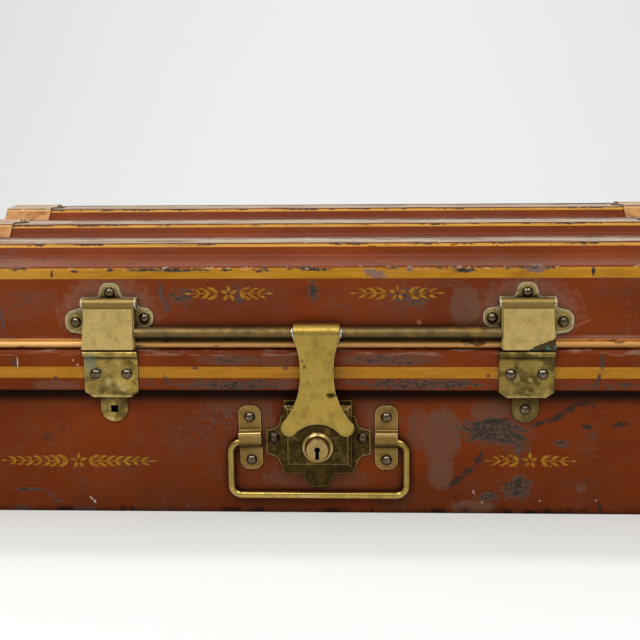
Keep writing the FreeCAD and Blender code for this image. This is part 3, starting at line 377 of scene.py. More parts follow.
def scuffed(paint, share=0.05, crevice_shade=0.85):
    """Pale nicks, a few chalky spots and crumbs, and painted shade in crevices."""
    paint.lay((paint.specks(8, 0.55, share * 1.5), 0.8), SCUFF_AND_SHEEN, rough=0.6, rise=-0.03)
    paint.lay((paint.specks(37, 0.7, share, shift=4.0), 0.8), CHALK, rough=0.7)
    # Painted shade: the enamel darkened in crevices and beside raised parts
    paint.lay((paint.crevices(7), crevice_shade), SHADE_BLACK, rough=0.65)
    crumbled(paint, paint.times(paint.clouds(45, 0.5, 0.68, detail=2.0, shift=13.0), 0.45))


def crumbled(paint, region):
    """Enamel rubbed through in fine grey and pale crumbs."""
    gathered = paint.times(region, paint.clouds((11, 11, 8), 0.32, 0.54, shift=21.0))
    grey = paint.clouds((3.4, 3.4, 2.2), 0.47, 0.6, detail=6.0, rough=0.7, shift=8.0)
    paint.lay((grey, gathered, 0.8), PRIMER, rough=0.6)
    pale = paint.clouds((2.4, 2.4, 1.3), 0.57, 0.68, detail=5.0, rough=0.65, shift=15.0)
    paint.lay((pale, gathered, 0.4), SCUFF_AND_SHEEN, rough=0.6)


# Marks on the front, in millimetres: x, z, half sizes, strength and perhaps a tilt in degrees.
# On the lid's line the second number is the drop from the lid's top.
base_mauve = [
    (93.7, 62, 15.5, 21, 0.9), (94, 33, 9.5, 14, 0.85), (130, 82, 15, 7.5, 0.8), (118.5, 5, 17, 6, 0.8),
    (41, 84, 8, 8, 0.5), (201.4, 21, 4.5, 4.4, 0.7), (-46, 72, 13, 24, 0.6), (47, 68, 11, 24, 0.6),
    (0, 28, 40, 9, 0.5), (-62, 88, 24, 9, 0.5), (77, 66, 8, 16, 0.5), (-30, 122.5, 16, 5.5, 0.5),
    (-200.7, 103, 18, 4, 0.7), (-24, 104, 7, 6, 0.6), (54, 123.5, 38, 5, 0.55), (-68, 123.5, 24, 5, 0.45),
]
base_wear = [
    (133, 66, 30, 11, 0.98), (152, 60, 10, 13, 0.9), (153, 21, 12.5, 11, 0.95), (129, 13.7, 10, 3.4, 0.95),
    (186.5, 56.3, 8, 4, 0.9), (-228, 17.4, 15, 1.8, 0.95), (-209, 10.5, 8, 2.6, 0.8, -42),
    (-234, 2, 10, 3, 0.8), (-184, 1.5, 12, 2.5, 0.8),
]
base_snow = [
    (-73.6, 77, 9, 12, 1.4), (-80, 60, 15, 24, 0.6), (-34.5, 74, 9, 14, 0.9), (-35, 27, 11, 9, 0.9),
    (72.6, 68, 4.5, 17, 1.0), (62, 13, 12, 9, 0.9), (-98, 5, 9, 5, 0.7), (-81, 33, 6, 6, 0.9),
    (55, 58, 9, 24, 0.9), (-52, 42, 9, 13, 0.8), (34, 90, 9, 8, 0.7),
]
dark_trails = [
    (136, 74, 10, 1.6, 0.9, 8), (169, 72.5, 7.5, 1.7, 1.0, 14), (182, 77.2, 7, 2.0, 1.0, 30),
    (191.5, 83.6, 6, 2.1, 1.0, 30), (202, 88, 8, 1.9, 1.0, 4), (208.5, 86.5, 1.8, 2.6, 0.9),
    (105.5, 25.6, 7.2, 1.9, 1.0, 38), (115, 34, 5.6, 2.0, 1.0, 38), (122.5, 43.5, 6.6, 2.2, 1.0, 62),
    (204, 69.2, 3.8, 2.1, 0.9), (228.2, 71.3, 5.2, 2.0, 0.9, 6), (215.4, 6.5, 1.4, 5, 0.8, 25),
    (-211, 59.7, 3.2, 3.0, 0.6), (-198.8, 67, 2.4, 3.4, 0.4),
]
band_wear = [
    (-64, 103.7, 49, 4.8, 0.85), (-64, 122.8, 21, 5, 0.75), (54, 123.2, 34, 5, 0.78),
    (76, 104.2, 60, 4.8, 0.9), (206, 103, 34, 4, 0.6), (-130, 104, 12, 4, 0.5),
]
chalky_nicks = [
    (-229.5, 121.1, 0.45, 3.9, 0.7), (-186.5, 122.8, 0.6, 0.7, 0.45), (-183, 119, 0.8, 0.9, 0.45),
    (-179, 10.7, 0.55, 2.1, 0.7, 40), (-176.2, 7.8, 0.8, 1.3, 0.7, 30), (119.3, 17.3, 0.6, 1.6, 0.45, 20),
    (126, 8.8, 0.8, 0.6, 0.45), (170, 10.5, 0.7, 0.7, 0.4), (212.8, 11, 0.7, 0.9, 0.4),
]
lid_wear = [
    (-102.6, 171, 13, 8, 0.75), (-59.5, 171.7, 5, 11, 0.72), (-2.5, 174, 4.2, 9, 0.9),
    (69, 170.6, 18, 9, 0.7), (-221.8, 167.4, 14, 8, 0.5),
]
lid_trails = [
    (-118.2, 174.8, 2.0, 6, 0.85, 4), (-115.2, 164.9, 2.0, 6.6, 0.85, 20),
    (-241.4, 153, 1.6, 8.5, 0.85, 8),
]
lid_snow = [
    (16.4, 165.7, 11, 9, 1.0), (97.9, 180.8, 10, 4, 0.9), (-66, 172, 34, 11, 0.6), (62, 165, 30, 11, 0.5),
]
pink_marks = [
    (76.8, 150.6, 1.9, 1.8, 0.8), (199, 150, 7, 0.6, 0.4, 25),
]
lid_mauve = [
    (111.4, 162.4, 11.5, 16, 0.9), (-225, 165, 30, 12, 0.2),
]
dark_nicks = [
    (-231.6, 121.1, 1.6, 3.6, 0.9), (-200.6, 109.1, 1.5, 1.2, 0.9), (-93.3, 116.6, 2.7, 1.2, 0.8),
    (-115.4, 107.1, 1.4, 4.8, 0.8, 25), (-24.2, 116.9, 1.9, 1.7, 0.7), (213.1, 121.6, 1.6, 6, 0.9),
    (210.5, 107.6, 1.6, 4.4, 0.9, -15), (231.3, 104, 5.8, 1.9, 0.9), (128.8, 111, 1.8, 1.4, 0.8),
]
green_stain = [
    (-173, 121, 5, 8, 1),
]
hasp_rivet_ends = [
    (-10.4, 82, 3.0, 3.0, 0.45), (10.4, 82, 3.0, 3.0, 0.45),
]
hasp_pits = [
    (10.5, 97.5, 3.4, 1.9, 0.9), (-11, 124, 1.3, 1.4, 0.9), (-9.4, 119.5, 1.1, 1.6, 0.8),
]
stripe_mauve = [
    (43.7, 5.9, 9, 3.2, 0.9, -14), (69.5, 2.4, 2.4, 1.8, 1.0), (163.5, 2.6, 7, 2.7, 1.0),
]
stripe_wear = [
    (-113.8, 2.6, 33, 1.5, 0.95), (-68.7, 2.7, 6, 1.0, 0.9), (-42, 2.6, 7.4, 1.8, 0.9),
    (-3, 2.3, 14, 1.3, 0.85), (111.3, 3.2, 9.4, 2.0, 0.9), (205.7, 4.4, 1.5, 3.4, 1.0),
    (-201.2, 5.6, 1.0, 3.1, 1.0), (-183.8, 3.4, 3.2, 1.4, 0.95), (-156.5, 2.7, 3.3, 1.3, 0.9),
]


def base_chips(paint, band):
    """Where the base is chipped: in places, along the band beside its line, and a little anywhere."""
    scattered = paint.clouds(55, 0.56, 0.74, detail=2.0, shift=1.0)
    below = paint.ramp(paint.z, band_line_low + 1, band_line_low - 1)
    above = paint.ramp(paint.z, band_line_high - 1, band_line_high + 1)
    band_region = paint.times(paint.patches(band_wear, soft=0.5), band, paint.most(below, above))
    return paint.most(paint.patches(base_wear, soft=0.5), band_region, paint.times(scattered, 0.55))


def band_highlight_and_shade(paint):
    """The band's upper corner, rubbed pale in streaks as a painted highlight, and painted shade beneath the
    band.
    """
    corner = paint.between(paint.z, *band_corner)
    rubbed = paint.clouds((22, 22, 3), 0.5, 0.62, detail=4.0, shift=12.0)
    # Painted highlight along the band's upper corner, in rubbed streaks
    paint.lay((corner, rubbed, 0.42), SCUFF_AND_SHEEN, rough=0.4)
    below_band = paint.ramp(paint.z, band_foot + 0.2, band_foot - 0.2)
    shade = paint.ramp(paint.z, band_foot - 23, band_foot - 3)
    paint.lay((shade, below_band, 0.55), BROWN_DEEP)
    shade = paint.ramp(paint.z, band_foot - 13, band_foot - 4)
    paint.lay((shade, below_band, 0.9), SHADE_BLACK, rough=0.8)


def foot_shade(paint):
    """Painted shade along the foot of the walls, in clouds."""
    upright = paint.ramp(paint.maths("ABSOLUTE", paint.facing), 0.7, 0.4)
    foot = paint.ramp(paint.z, foot_shade_top, 0)
    patchy = paint.clouds(16, 0.5, 0.6, detail=4.0, shift=3.3)
    # Painted shade along the foot of the upright walls
    paint.lay((upright, foot, patchy), SHADE_BLACK, rough=0.7)


def base_paint():
    """The base: dull and chipped patches, the band's ochre line, painted shade low down, under the band and
    along the foot, and a painted highlight on the band's corner.
    """
    paint = enamel("base_enamel", dulled=0.22, gloss=0.06)
    band = paint.times(paint.front, paint.ramp(paint.z, band_foot - 0.5, band_foot + 0.5))
    # Painted shade: the base darker in clouds towards the bottom
    lower_shade = paint.times(paint.ramp(paint.z, lower_shade_top, 4), paint.clouds(90, 0.34, 0.6, shift=6.0))
    paint.lay((lower_shade, 0.55), BROWN_DEEP)
    paint.lay(paint.patches(base_mauve, soft=0.12, ragged=0.6, grain=(3, 9, 14)), MAUVE, rough=0.55)
    line(paint, paint.between(paint.z, band_line_low, band_line_high))
    chipped(paint, base_chips(paint, band))
    crumbled(paint, paint.patches(base_snow, soft=0.6))
    paint.lay(paint.patches(dark_trails, soft=0.5, ragged=1.9, grain=3.2), BARE_IRON, rough=0.55)
    paint.lay(paint.patches(dark_nicks, soft=0.35, ragged=0.9, grain=2.6), NICK_GREY, rough=0.6)
    paint.lay(paint.patches(chalky_nicks, soft=0.3, grain=2), CHALK, rough=0.7)
    scuffed(paint)
    band_highlight_and_shade(paint)
    foot_shade(paint)
    return paint.done()


def dust_spots():
    """Pale dust of old polish on the enamel round the two clasp plates."""
    spots = []
    for side in ("left", "right"):
        low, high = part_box("clasp_plate_" + side)
        middle = (low + high) / 2 / MM
        half = (high - low) / 2 / MM
        spots.append((middle.x, middle.z, half.x + 1, half.z + 2, 0.26))
    return spots


def painted_bead(paint):
    """The rolled bead at the rim's foot, painted ochre, with a painted highlight along its middle, painted
    shade below, and a painted highlight on the fillet above it.
    """
    bead = paint.ramp(paint.z, bead_paint_top + 0.3, bead_paint_top - 0.3)
    line(paint, bead, BEAD_PAINT)
    rolled = paint.between(paint.z, bead_low + 2.6, bead_paint_top - 2.3, soft=1.0)
    # Painted highlight along the middle of the bead
    paint.lay((rolled, 0.85), BEAD_HIGHLIGHT)
    # Painted shade on the bead's lower side
    paint.lay((bead, paint.ramp(paint.z, bead_low + 1.6, bead_low + 0.2), 0.7), BROWN_DEEP)
    paint.lay((bead, paint.ramp(paint.x, *dull_bead), 0.5), OCHRE_BROWN)
    paint.lay(bead, rough=0.3, metal=0.2)
    # Painted highlight on the fillet above the bead
    fillet_highlight = paint.between(paint.z, bead_paint_top + 0.6, bead_paint_top + 2.6, soft=0.6)
    gathered = paint.clouds(60, 0.36, 0.56, shift=2.0)
    paint.lay((fillet_highlight, gathered, 0.45), SCUFF_AND_SHEEN, rough=0.4)
    rubbed = paint.clouds((16, 16, 4), 0.6, 0.66, detail=4.0, shift=12.0)
    paint.lay((bead, rubbed, 0.8), BROWN_DEEP, rough=0.5)


def rim_paint():
    """The lid's rim: dull and chipped patches, dust round the clasps, and the bead."""
    paint = enamel("lid_rim_enamel")
    paint.lay(paint.patches(lid_mauve, soft=0.12), MAUVE, rough=0.55)
    scattered = paint.clouds(60, 0.56, 0.74, detail=2.0, shift=5.0)
    chipped(paint, paint.most(paint.patches(lid_wear, soft=0.5), paint.times(scattered, 0.42)))
    crumbled(paint, paint.patches(lid_snow, soft=0.6))
    paint.lay(paint.patches(lid_trails, soft=0.4, ragged=1.6, grain=3.4), TRAIL_GREY, rough=0.6)
    paint.lay(paint.patches(pink_marks, grain=2), PINK_SPOT, rough=0.5)
    scuffed(paint, crevice_shade=0.6)
    paint.lay(paint.patches(dust_spots(), grain=5), SCUFF_AND_SHEEN, rough=0.6)
    painted_bead(paint)
    return paint.done()


def hung(places):
    """Places whose second number is the drop from the lid's top, as heights."""
    return [(x, lid_top / MM - drop, *rest) for x, drop, *rest in places]


def top_paint():
    """The tray on top: its turned edge is an ochre line, chipped along the upper corner."""
    paint = enamel("lid_top_enamel", dulled=0.2, gloss=0.04)
    edge_top = lid_top / MM - lid_edge_bend
    stripe = paint.ramp(paint.z, edge_top + 0.4, edge_top - 0.4)
    line(paint, stripe, OCHRE_BRIGHT)
    # Painted light: the ochre line and the flat top lighter towards the left end
    left_light = paint.ramp(paint.x, *left_light_span)
    paint.lay((stripe, left_light, 0.5), OCHRE_LIGHT)
    paint.lay((paint.ramp(paint.z, edge_top + 0.9, edge_top + 1.3), left_light, 0.2), SCUFF_AND_SHEEN)
    paint.lay(paint.patches(hung(stripe_mauve), soft=0.15, ragged=0.8, grain=4), LINE_MAUVE, rough=0.5)
    outside = paint.ramp(paint.facing, -0.6, -0.3)
    corner = paint.times(outside, paint.between(paint.z, edge_top - 1.4, edge_top + 1.2, soft=0.9))
    stretches = paint.clouds(46, 0.46, 0.6, shift=8.0)
    flat = paint.times(outside, paint.ramp(paint.z, edge_top + 0.9, edge_top + 1.3))
    spots = paint.clouds(70, 0.54, 0.7, shift=3.0)
    along_corner = paint.times(corner, stretches, 0.7)
    chips = paint.patches(hung(stripe_wear), soft=0.4, grain=4)
    chipped(paint, paint.most(along_corner, chips, paint.times(flat, spots, 0.6)))
    crumbs = paint.clouds((5, 5, 1.4), 0.6, 0.66, detail=5.0, shift=17.0)
    paint.lay((corner, crumbs, 0.6), CRUMB_PALE, rough=0.6)
    drawn = paint.clouds((50, 1.6, 8), 0.62, 0.7, detail=5.0, rough=0.7, shift=2.0)
    paint.lay((flat, drawn, 0.4), SCUFF_AND_SHEEN, rough=0.5)
    scuffed(paint)
    return paint.done()


def rubbed_top(paint, top):
    """The flat top of a rib, rubbed down to tinned steel in streaks along its front half."""
    kept = 0.0
    for place in ("front", "middle", "rear"):
        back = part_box("lid_rib_" + place)[1].y / MM - rib_run
        ragged = paint.times(paint.plus(paint.noise((40, 20, 20), detail=4.0, shift=2.5), -0.5), 12)
        depth = paint.plus(paint.plus(paint.y, ragged), paint.times(paint.x, rub_lean))
        starts = paint.ramp(depth, back - rib_kept - 1.5, back - rib_kept)
        behind = paint.times(starts, paint.ramp(paint.y, back + 9, back + 8))
        kept = behind if kept == 0.0 else paint.most(kept, behind)
    flat = paint.times(paint.ramp(paint.z, top - 0.6, top - 0.2), paint.maths("SUBTRACT", 1.0, kept))
    paint.lay((flat, 0.5), FLAT_BROWN, rough=0.45)
    streaks = paint.clouds((70, 9, 9), 0.34, 0.56, detail=6.0, rough=0.65, shift=9.0)
    paint.lay((flat, streaks, 0.9), TINNED, rough=0.36, metal=0.5)
    gouges = paint.clouds((22, 1.6, 1.6), 0.6, 0.66, detail=5.0, rough=0.7, shift=4.0)
    paint.lay((flat, gouges, 0.8), BARE_IRON, rough=0.5)
    border = paint.between(paint.z, top - 1.1, top - 0.12, soft=0.2)
    paint.lay((border, paint.clouds(9, 0.3, 0.44, shift=3.0), 0.85), BROWN_DEEP)


def rib_paint():
    """A pressed rib with a thin ochre line under its upper front corner."""
    paint = enamel("rib_enamel", gloss=0.06)
    top = rib_top / MM
    kept = paint.clouds(12, 0.3, 0.34, detail=5.0, shift=5.5)
    ridge = paint.times(paint.between(paint.z, top - rib_line_drop, top - 0.9, soft=0.25), kept)
    line(paint, ridge, OCHRE_LIGHT)
    worn = paint.clouds((24, 8, 8), 0.44, 0.58, detail=4.0, shift=2.0)
    chipped(paint, paint.times(paint.ramp(paint.z, top - 3.0, top - 1.4), worn, 0.9))
    rubbed_top(paint, top)
    scuffed(paint)
    return paint.done()


def cap_paint():
    """Rib caps, painted ochre and gone brown."""
    paint = Surface("cap_enamel", CAP_OCHRE, 0.4, gloss=0.2)
    paint.lay(paint.clouds(14, 0.45, 0.66, detail=5.0), CAP_BROWN, rough=0.5)
    paint.lay(paint.clouds(30, 0.5, 0.64, shift=2.0), CAP_YELLOW)
    top = rib_top / MM
    line(paint, paint.between(paint.z, top - 1.6, top + 0.2), CAP_LINE)
    rubbed_top(paint, top + 0.8)
    paint.lay((paint.edges(0.7), 0.6), BROWN_DEEP)
    chipped(paint, paint.times(paint.clouds(18, 0.48, 0.64, shift=6.0), 0.35))
    paint.lay(paint.noise(1.6), rise=0.03)
    scuffed(paint)
    return paint.done()


def hinge_paint():
    """Back hinges, brushed over with the case's enamel and rubbed on their edges."""
    paint = enamel("hinge_enamel", BROWN_DEEP)
    paint.lay(paint.edges(0.6), PRIMER, rough=0.5)
    chipped(paint, paint.times(paint.clouds(12, 0.45, 0.6, shift=6.0), 0.75))
    return paint.done()


# Hardware

def brass(name, ground=BRASS, rough=0.4, tarnish=0.5, stain=BRASS_OLIVE, edge=BRASS_PALE,
          grain=(40, 40, 1.2), rub=0.3, dents=0.16):
    """Aged brass with clouded tarnish, fine rubbing marks and dark pits, edges rubbed bright that also paint
    a highlight, and painted shade in crevices.
    """
    metal = Surface(name, ground, rough, metal=1.0)
    clouds = metal.clouds(9, 0.42, 0.68, detail=5.0, rough=0.6)
    metal.lay((clouds, tarnish), stain, rough=rough + 0.12)
    warm = metal.clouds(16, 0.5, 0.68, shift=3.0)
    metal.lay((warm, tarnish * 0.7), BRASS_GOLD)
    rubbing = metal.noise(grain, detail=4.0, rough=0.7, shift=5.0)
    metal.lay((metal.ramp(rubbing, 0.5, 0.7), rub), edge, rough=rough - 0.08)
    speckle = metal.clouds(1.3, 0.53, 0.66, detail=5.0, rough=0.7, shift=11.0)
    metal.lay((speckle, 0.42), stain, rough=rough + 0.15)
    metal.lay(rubbing, rise=0.035 * rub / 0.3)
    metal.lay(metal.noise(5, shift=1.0), rise=dents)
    metal.lay(metal.noise(0.9, detail=2.0, shift=14.0), rise=dents / 8)
    metal.lay(metal.specks(4.2, 0.32, 0.14), BRASS_DARK, rough=0.7, rise=-0.05)
    # Edges rubbed bright, also painted as a highlight
    metal.lay((metal.edges(0.9), 0.95), edge, rough=rough - 0.1)
    # Painted shade in crevices and beside raised parts
    metal.lay((metal.crevices(4), 0.8), BRASS_DARK, rough=0.6)
    return metal


def clasp_brass():
    """The plates on the lid, with painted shade in their crevices and a pale crust of old polish round their
    rims.
    """
    metal = brass("clasp_brass", CLASP_BRASS, tarnish=0.55, stain=BRASS_BROWN)
    # Painted shade in crevices
    metal.lay((metal.crevices(9), 0.6), BRASS_DARK)
    crust = metal.times(metal.edges(4.0), metal.clouds(2.4, 0.3, 0.48, detail=5.0, shift=6.0))
    metal.lay((crust, 0.9), CLASP_CRUST, rough=0.75, metal=0.15)
    return metal.done()


def clip_brass():
    """Clips of the handles, with painted shade in crevices; the strap over the handle's hook has a painted
    highlight above and painted shade below.
    """
    metal = brass("clip_brass", CLIP_BRASS, tarnish=0.5, stain=BRASS_BROWN, rub=0.2)
    # Painted shade in crevices
    metal.lay((metal.crevices(8), 0.6), BRASS_DARK)
    metal.lay((metal.clouds(11, 0.5, 0.66, shift=9.0), 0.45), COPPER_PINK)
    vertices = nodes["bail_clip_left"].data.vertices
    proud = min(vertex.co.y for vertex in vertices) + 0.3 * MM
    heights = [vertex.co.z / MM for vertex in vertices if vertex.co.y < proud]
    low = min(heights)
    high = max(heights)
    # Painted highlight along the top of the strap's bulge
    rising = metal.ramp(metal.z, high - 3.5, high)
    falling = metal.ramp(metal.z, high + 1.6, high + 0.8)
    metal.lay((rising, falling, 0.7), CLIP_HIGHLIGHT, rough=0.32)
    # Painted shade along the bottom of the strap's bulge
    falling = metal.ramp(metal.z, low + 3.5, low)
    rising = metal.ramp(metal.z, low - 3, low - 1.5)
    metal.lay((falling, rising, 0.8), BRASS_DARK, rough=0.5)
    return metal.done()


def flap_brass():
    """Levers of the clasps: pale rubbed faces, with a blue-green stain low on the right one."""
    metal = brass("flap_brass", FLAP_BRASS, rough=0.42, tarnish=0.3, grain=(40, 40, 1.6))
    rolled = metal.ramp(metal.z, roll_low, roll_low + 0.8)
    metal.lay((rolled, 0.8), BRASS_OLIVE, rough=0.55)
    across = metal.times(metal.plus(metal.x, -stain_x), stain_slope)
    down = metal.times(metal.plus(metal.z, -stain_z), -1)
    slope = metal.plus(across, down)
    rag = metal.times(metal.plus(metal.noise(4, detail=5.0), -0.5), 5)
    below = metal.ramp(metal.plus(slope, rag), -0.4, 0.4)
    corner = metal.times(below, metal.ramp(metal.x, stain_left, stain_left + 1))
    metal.lay((corner, 0.92), BRASS_DARK, rough=0.6)
    low = metal.ramp(metal.plus(metal.z, metal.times(metal.x, -blue_slope)), *blue_heights)
    blue = metal.times(metal.clouds(3.2, 0.44, 0.56, detail=5.0, shift=2.0), low)
    metal.lay((corner, blue), VERDIGRIS, rough=0.75, metal=0.1, rise=0.05)
    return metal.done()


def strike_brass():
    """Strikes: blotched dark, with a green-grey stain on the left one's upper corner, a painted highlight
    along the plate's lower edge, and painted shadow on the tongue and under the curled lip.
    """
    metal = brass("strike_brass", STRIKE_BRASS, tarnish=0.7)
    dark = metal.clouds((12, 12, 10), 0.48, 0.64, detail=5.0, shift=6.0)
    metal.lay((dark, 0.8), STRIKE_DARK, rough=0.55)
    right = metal.ramp(metal.x, 0, 1)
    metal.lay((right, 0.22), BRASS_BROWN)
    bright = metal.clouds(11, 0.54, 0.66, detail=4.0, shift=18.0)
    metal.lay((bright, 0.5), BRASS_PALE, rough=0.34)
    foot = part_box("strike_left")[0].z / MM + strike_tongue_length
    # Painted highlight along the plate's lower edge
    metal.lay((metal.between(metal.z, foot + 0.2, foot + 1.2), 0.5), BRASS_PALE, rough=0.32)
    # Painted shadow cast by the plate on the tongue below it
    shaded = metal.ramp(metal.z, foot - 9, foot - 1)
    tongue = metal.ramp(metal.z, foot + 0.2, foot - 0.2)
    metal.lay((shaded, tongue, 0.85), BRASS_DARK, rough=0.55)
    metal.lay((right, tongue, 0.5), BRASS_DARK, rough=0.5)
    metal.lay((right, metal.edges(5), 0.4), BRASS_DARK, rough=0.5)
    # Painted shadow under the curled lip
    under = metal.between(metal.z, *strike_lip, soft=1.2)
    metal.lay((under, 0.75), BRASS_DARK, rough=0.55)
    stain = metal.patches(green_stain, soft=0.5, ragged=0.7, grain=4)
    metal.lay((stain, 0.6), VERDIGRIS_PALE, rough=0.75, metal=0.3, rise=0.04)
    return metal.done()


def hasp_brass():
    """The hasp, bright from handling, with two flush rivet ends and a few dark pits."""
    metal = brass("hasp_brass", HASP_BRASS, rough=0.38, tarnish=0.46, grain=(3, 12, 12), rub=0.14)
    rim = metal.times(metal.edges(3.2), metal.clouds(6, 0.44, 0.6, detail=4.0, shift=31.0))
    metal.lay((rim, 0.5), BRASS_BROWN, rough=0.5)
    rivet_ends = metal.patches(hasp_rivet_ends, soft=0.15, ragged=0.2, grain=2)
    metal.lay(rivet_ends, COPPER_PINK, rough=0.45, rise=0.03)
    metal.lay(metal.patches(hasp_pits, soft=0.3, grain=2), BRASS_DARK, rough=0.65, rise=-0.05)
    left_edge = metal.between(metal.x, *hasp_left_edge, soft=1.5)
    waist = metal.between(metal.z, *hasp_waist, soft=4.0)
    metal.lay((left_edge, waist, 0.5), HASP_BRIGHT, rough=0.3)
    return metal.done()


def bar_brass():
    """The round bar, brown and dull, with painted shade along its lower half."""
    metal = brass("bar_brass", BAR_BRASS, rough=0.54, tarnish=0.6, stain=BRASS_BROWN,
                  edge=BAR_EDGE, grain=(90, 3, 3))
    rubbed = metal.clouds((22, 9, 9), 0.52, 0.64, shift=4.4)
    metal.lay((rubbed, 0.4), BAR_BRIGHT, rough=0.38)
    middle = (bar_low.z + bar_high.z) / 2 / MM
    # Painted shade along the bar's lower half
    metal.lay((metal.ramp(metal.z, middle + 0.5, middle - 3.0), 0.9), SHADE_BLACK, rough=0.6)
    return metal.done()


def bail_brass():
    """The wire handles, rubbed pale in clouds; on the front they are darker up the sides than along the
    bottom run.
    """
    metal = brass("bail_brass", BAIL_BRASS, rough=0.26, tarnish=0.45, stain=BRASS_BROWN,
                  grain=24, rub=0.2, dents=0.05)
    rubbed = metal.clouds(24, 0.52, 0.66, shift=7.0)
    metal.lay((rubbed, 0.6), BRASS_PALE, rough=0.2)
    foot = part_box("front_bail")[0].z / MM
    sides = metal.times(metal.front, metal.ramp(metal.z, foot + 5, foot + 11))
    metal.lay((sides, 0.42), BRASS_BROWN, rough=0.34)
    return metal.done()


def lock_brass():
    """The lock's box and backplate, dark with old polish, its borders rubbed bright and painted with a
    highlight, and painted shade below the box.
    """
    metal = brass("lock_brass", LOCK_BRASS, rough=0.44, tarnish=0.4, stain=BRASS_DARK,
                  edge=LOCK_EDGE, grain=3)
    pitted = metal.clouds(2.6, 0.5, 0.66, detail=5.0, shift=3.0)
    metal.lay((pitted, 0.6), LOCK_DARK, rise=0.06)
    metal.lay((metal.clouds(5, 0.54, 0.66, shift=8.0), 0.4), BRASS_OLIVE)
    # Borders rubbed bright, also painted as a highlight
    metal.lay(metal.edges(1.5), LOCK_BORDER, rough=0.34)
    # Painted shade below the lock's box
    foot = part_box("lock_case")[0].z / MM
    metal.lay((metal.ramp(metal.z, foot + 4, foot - 3), 0.55), BRASS_DARK, rough=0.5)
    return metal.done()


def boss_brass():
    """The stepped boss: an olive middle, a dark ring of painted shade round it where a groove would be, and
    a painted highlight on its rim.
    """
    metal = brass("boss_brass", BOSS_BRASS, rough=0.32, tarnish=0.4, stain=BOSS_STAIN,
                  edge=BOSS_EDGE, grain=2)
    low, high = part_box("keyhole_boss")
    radius = (high.x - low.x) / 2 / MM
    out = metal.reach((low.x + high.x) / 2 / MM, (low.z + high.z) / 2 / MM, radius, radius, 0.0)
    metal.lay((metal.ramp(out, 0.66, 0.56), 0.45), BRASS_OLIVE, rough=0.4)
    # Painted shade in a ring, where a groove would be
    metal.lay((metal.between(out, 0.66, 0.74, soft=0.04), 0.6), BRASS_DARK, rough=0.5)
    # Painted highlight on the outer ring
    metal.lay((metal.between(out, 0.84, 0.94, soft=0.05), 0.5), BRASS_PALE, rough=0.28)
    return metal.done()


def rivet_bronze(name="rivet_bronze", ground=BRONZE, rough=0.24):
    """Round rivet heads, mottled dark and bright, with painted shade round their feet."""
    metal = Surface(name, ground, rough, metal=1.0)
    metal.lay(metal.clouds(4, 0.44, 0.64, detail=4.0), BRONZE_DULL, rough=rough + 0.06)
    metal.lay((metal.clouds(3.5, 0.54, 0.66, shift=5.0), 0.6), BRONZE_BRIGHT)
    metal.lay(metal.noise(2.5, detail=2.0), rise=0.01)
    # Painted shade round the heads' feet
    metal.lay((metal.crevices(2.5), 0.8), BRASS_DARK, rough=0.6)
    return metal.done()


def bare_steel():
    metal = Surface("bare_steel", STEEL, 0.4, metal=1.0)
    metal.lay(metal.clouds(4, 0.46, 0.66, detail=5.0), STEEL_RUST, rough=0.62)
    metal.lay(metal.noise((20, 3, 3), detail=4.0), rise=0.03)
    return metal.done()


def solder_metal():
    metal = Surface("solder", SOLDER, 0.3, metal=1.0)
    metal.lay(metal.clouds(1.2, 0.42, 0.6, detail=4.0), SOLDER_DULL, rough=0.5)
    metal.lay(metal.noise(0.9), rise=0.12)
    return metal.done()


def ornament_paint():
    """Ochre brush strokes, thin and rubbed away in places."""
    paint = Surface("ornament_paint", LEAF_OCHRE, 0.5, gloss=0.1)
    paint.lay(paint.clouds(5, 0.42, 0.62, detail=5.0), LEAF_BROWN)
    paint.lay(paint.clouds(3, 0.58, 0.62, detail=4.0, shift=3.0), BROWN)
    paint.lay(paint.noise(1, detail=2.0), rise=0.02)
    return paint.done()


def dress(material, *names):
    """Puts a material on the CAD nodes whose names start so."""
    for name, node in nodes.items():
        if name.startswith(names):
            node.data.materials.clear()
            node.data.materials.append(material)


def dress_all():
    dress(base_paint(), "base_")
    dress(rim_paint(), "lid_front_rim", "lid_back_rim", "lid_left_rim", "lid_right_rim")
    dress(top_paint(), "lid_top_panel")
    dress(rib_paint(), "lid_rib_")
    dress(cap_paint(), "rib_cap_")
    dress(hinge_paint(), "hinge_base_leaf", "hinge_lid_leaf")
    dress(clasp_brass(), "clasp_plate")
    dress(flap_brass(), "clasp_lever")
    dress(strike_brass(), "strike_left", "strike_right")
    dress(hasp_brass(), "hasp")
    dress(bar_brass(), "fastening_bar")
    dress(bail_brass(), "front_bail", "left_end_bail", "right_end_bail")
    dress(clip_brass(), "bail_clip_left", "bail_clip_right", "end_clips")
    dress(lock_brass(), "lock_case", "lock_backplate")
    dress(boss_brass(), "keyhole_boss")
    dress(rivet_bronze(), *[name for name in nodes if name.endswith("_rivets")])
    dress(rivet_bronze("lock_rivet_bronze", LOCK_BRONZE, 0.42), "lock_rivets")
    dress(bare_steel(), "lock_bolt", "lock_spring", "hinge_pins", "clasp_pins")
    dress(brass("aged_brass", tarnish=0.6).done(), "hasp_staple")


# Small pieces made here

def placed(name, data):
    """A new object in the scene."""
    made = bpy.data.objects.new(name, data)
    scene.collection.objects.link(made)
    return made


def lathe(mesh, profile, center, axis, steps=40):
    """Adds a ring: profile points (radius, height) turned about an axis through the center."""
    turn = Vector((0, 0, 1)).rotation_difference(Vector(axis)).to_matrix()
    rows = []
    for step in range(steps):
        angle = math.tau * step / steps
        rows.append([mesh.verts.new(Vector(center) + turn @ Vector((
            radius * math.cos(angle), radius * math.sin(angle), height))) for radius, height in profile])
    for index, row in enumerate(rows):
        after = rows[(index + 1) % steps]
        for low in range(len(profile) - 1):
            mesh.faces.new((row[low], after[low], after[low + 1], row[low + 1]))


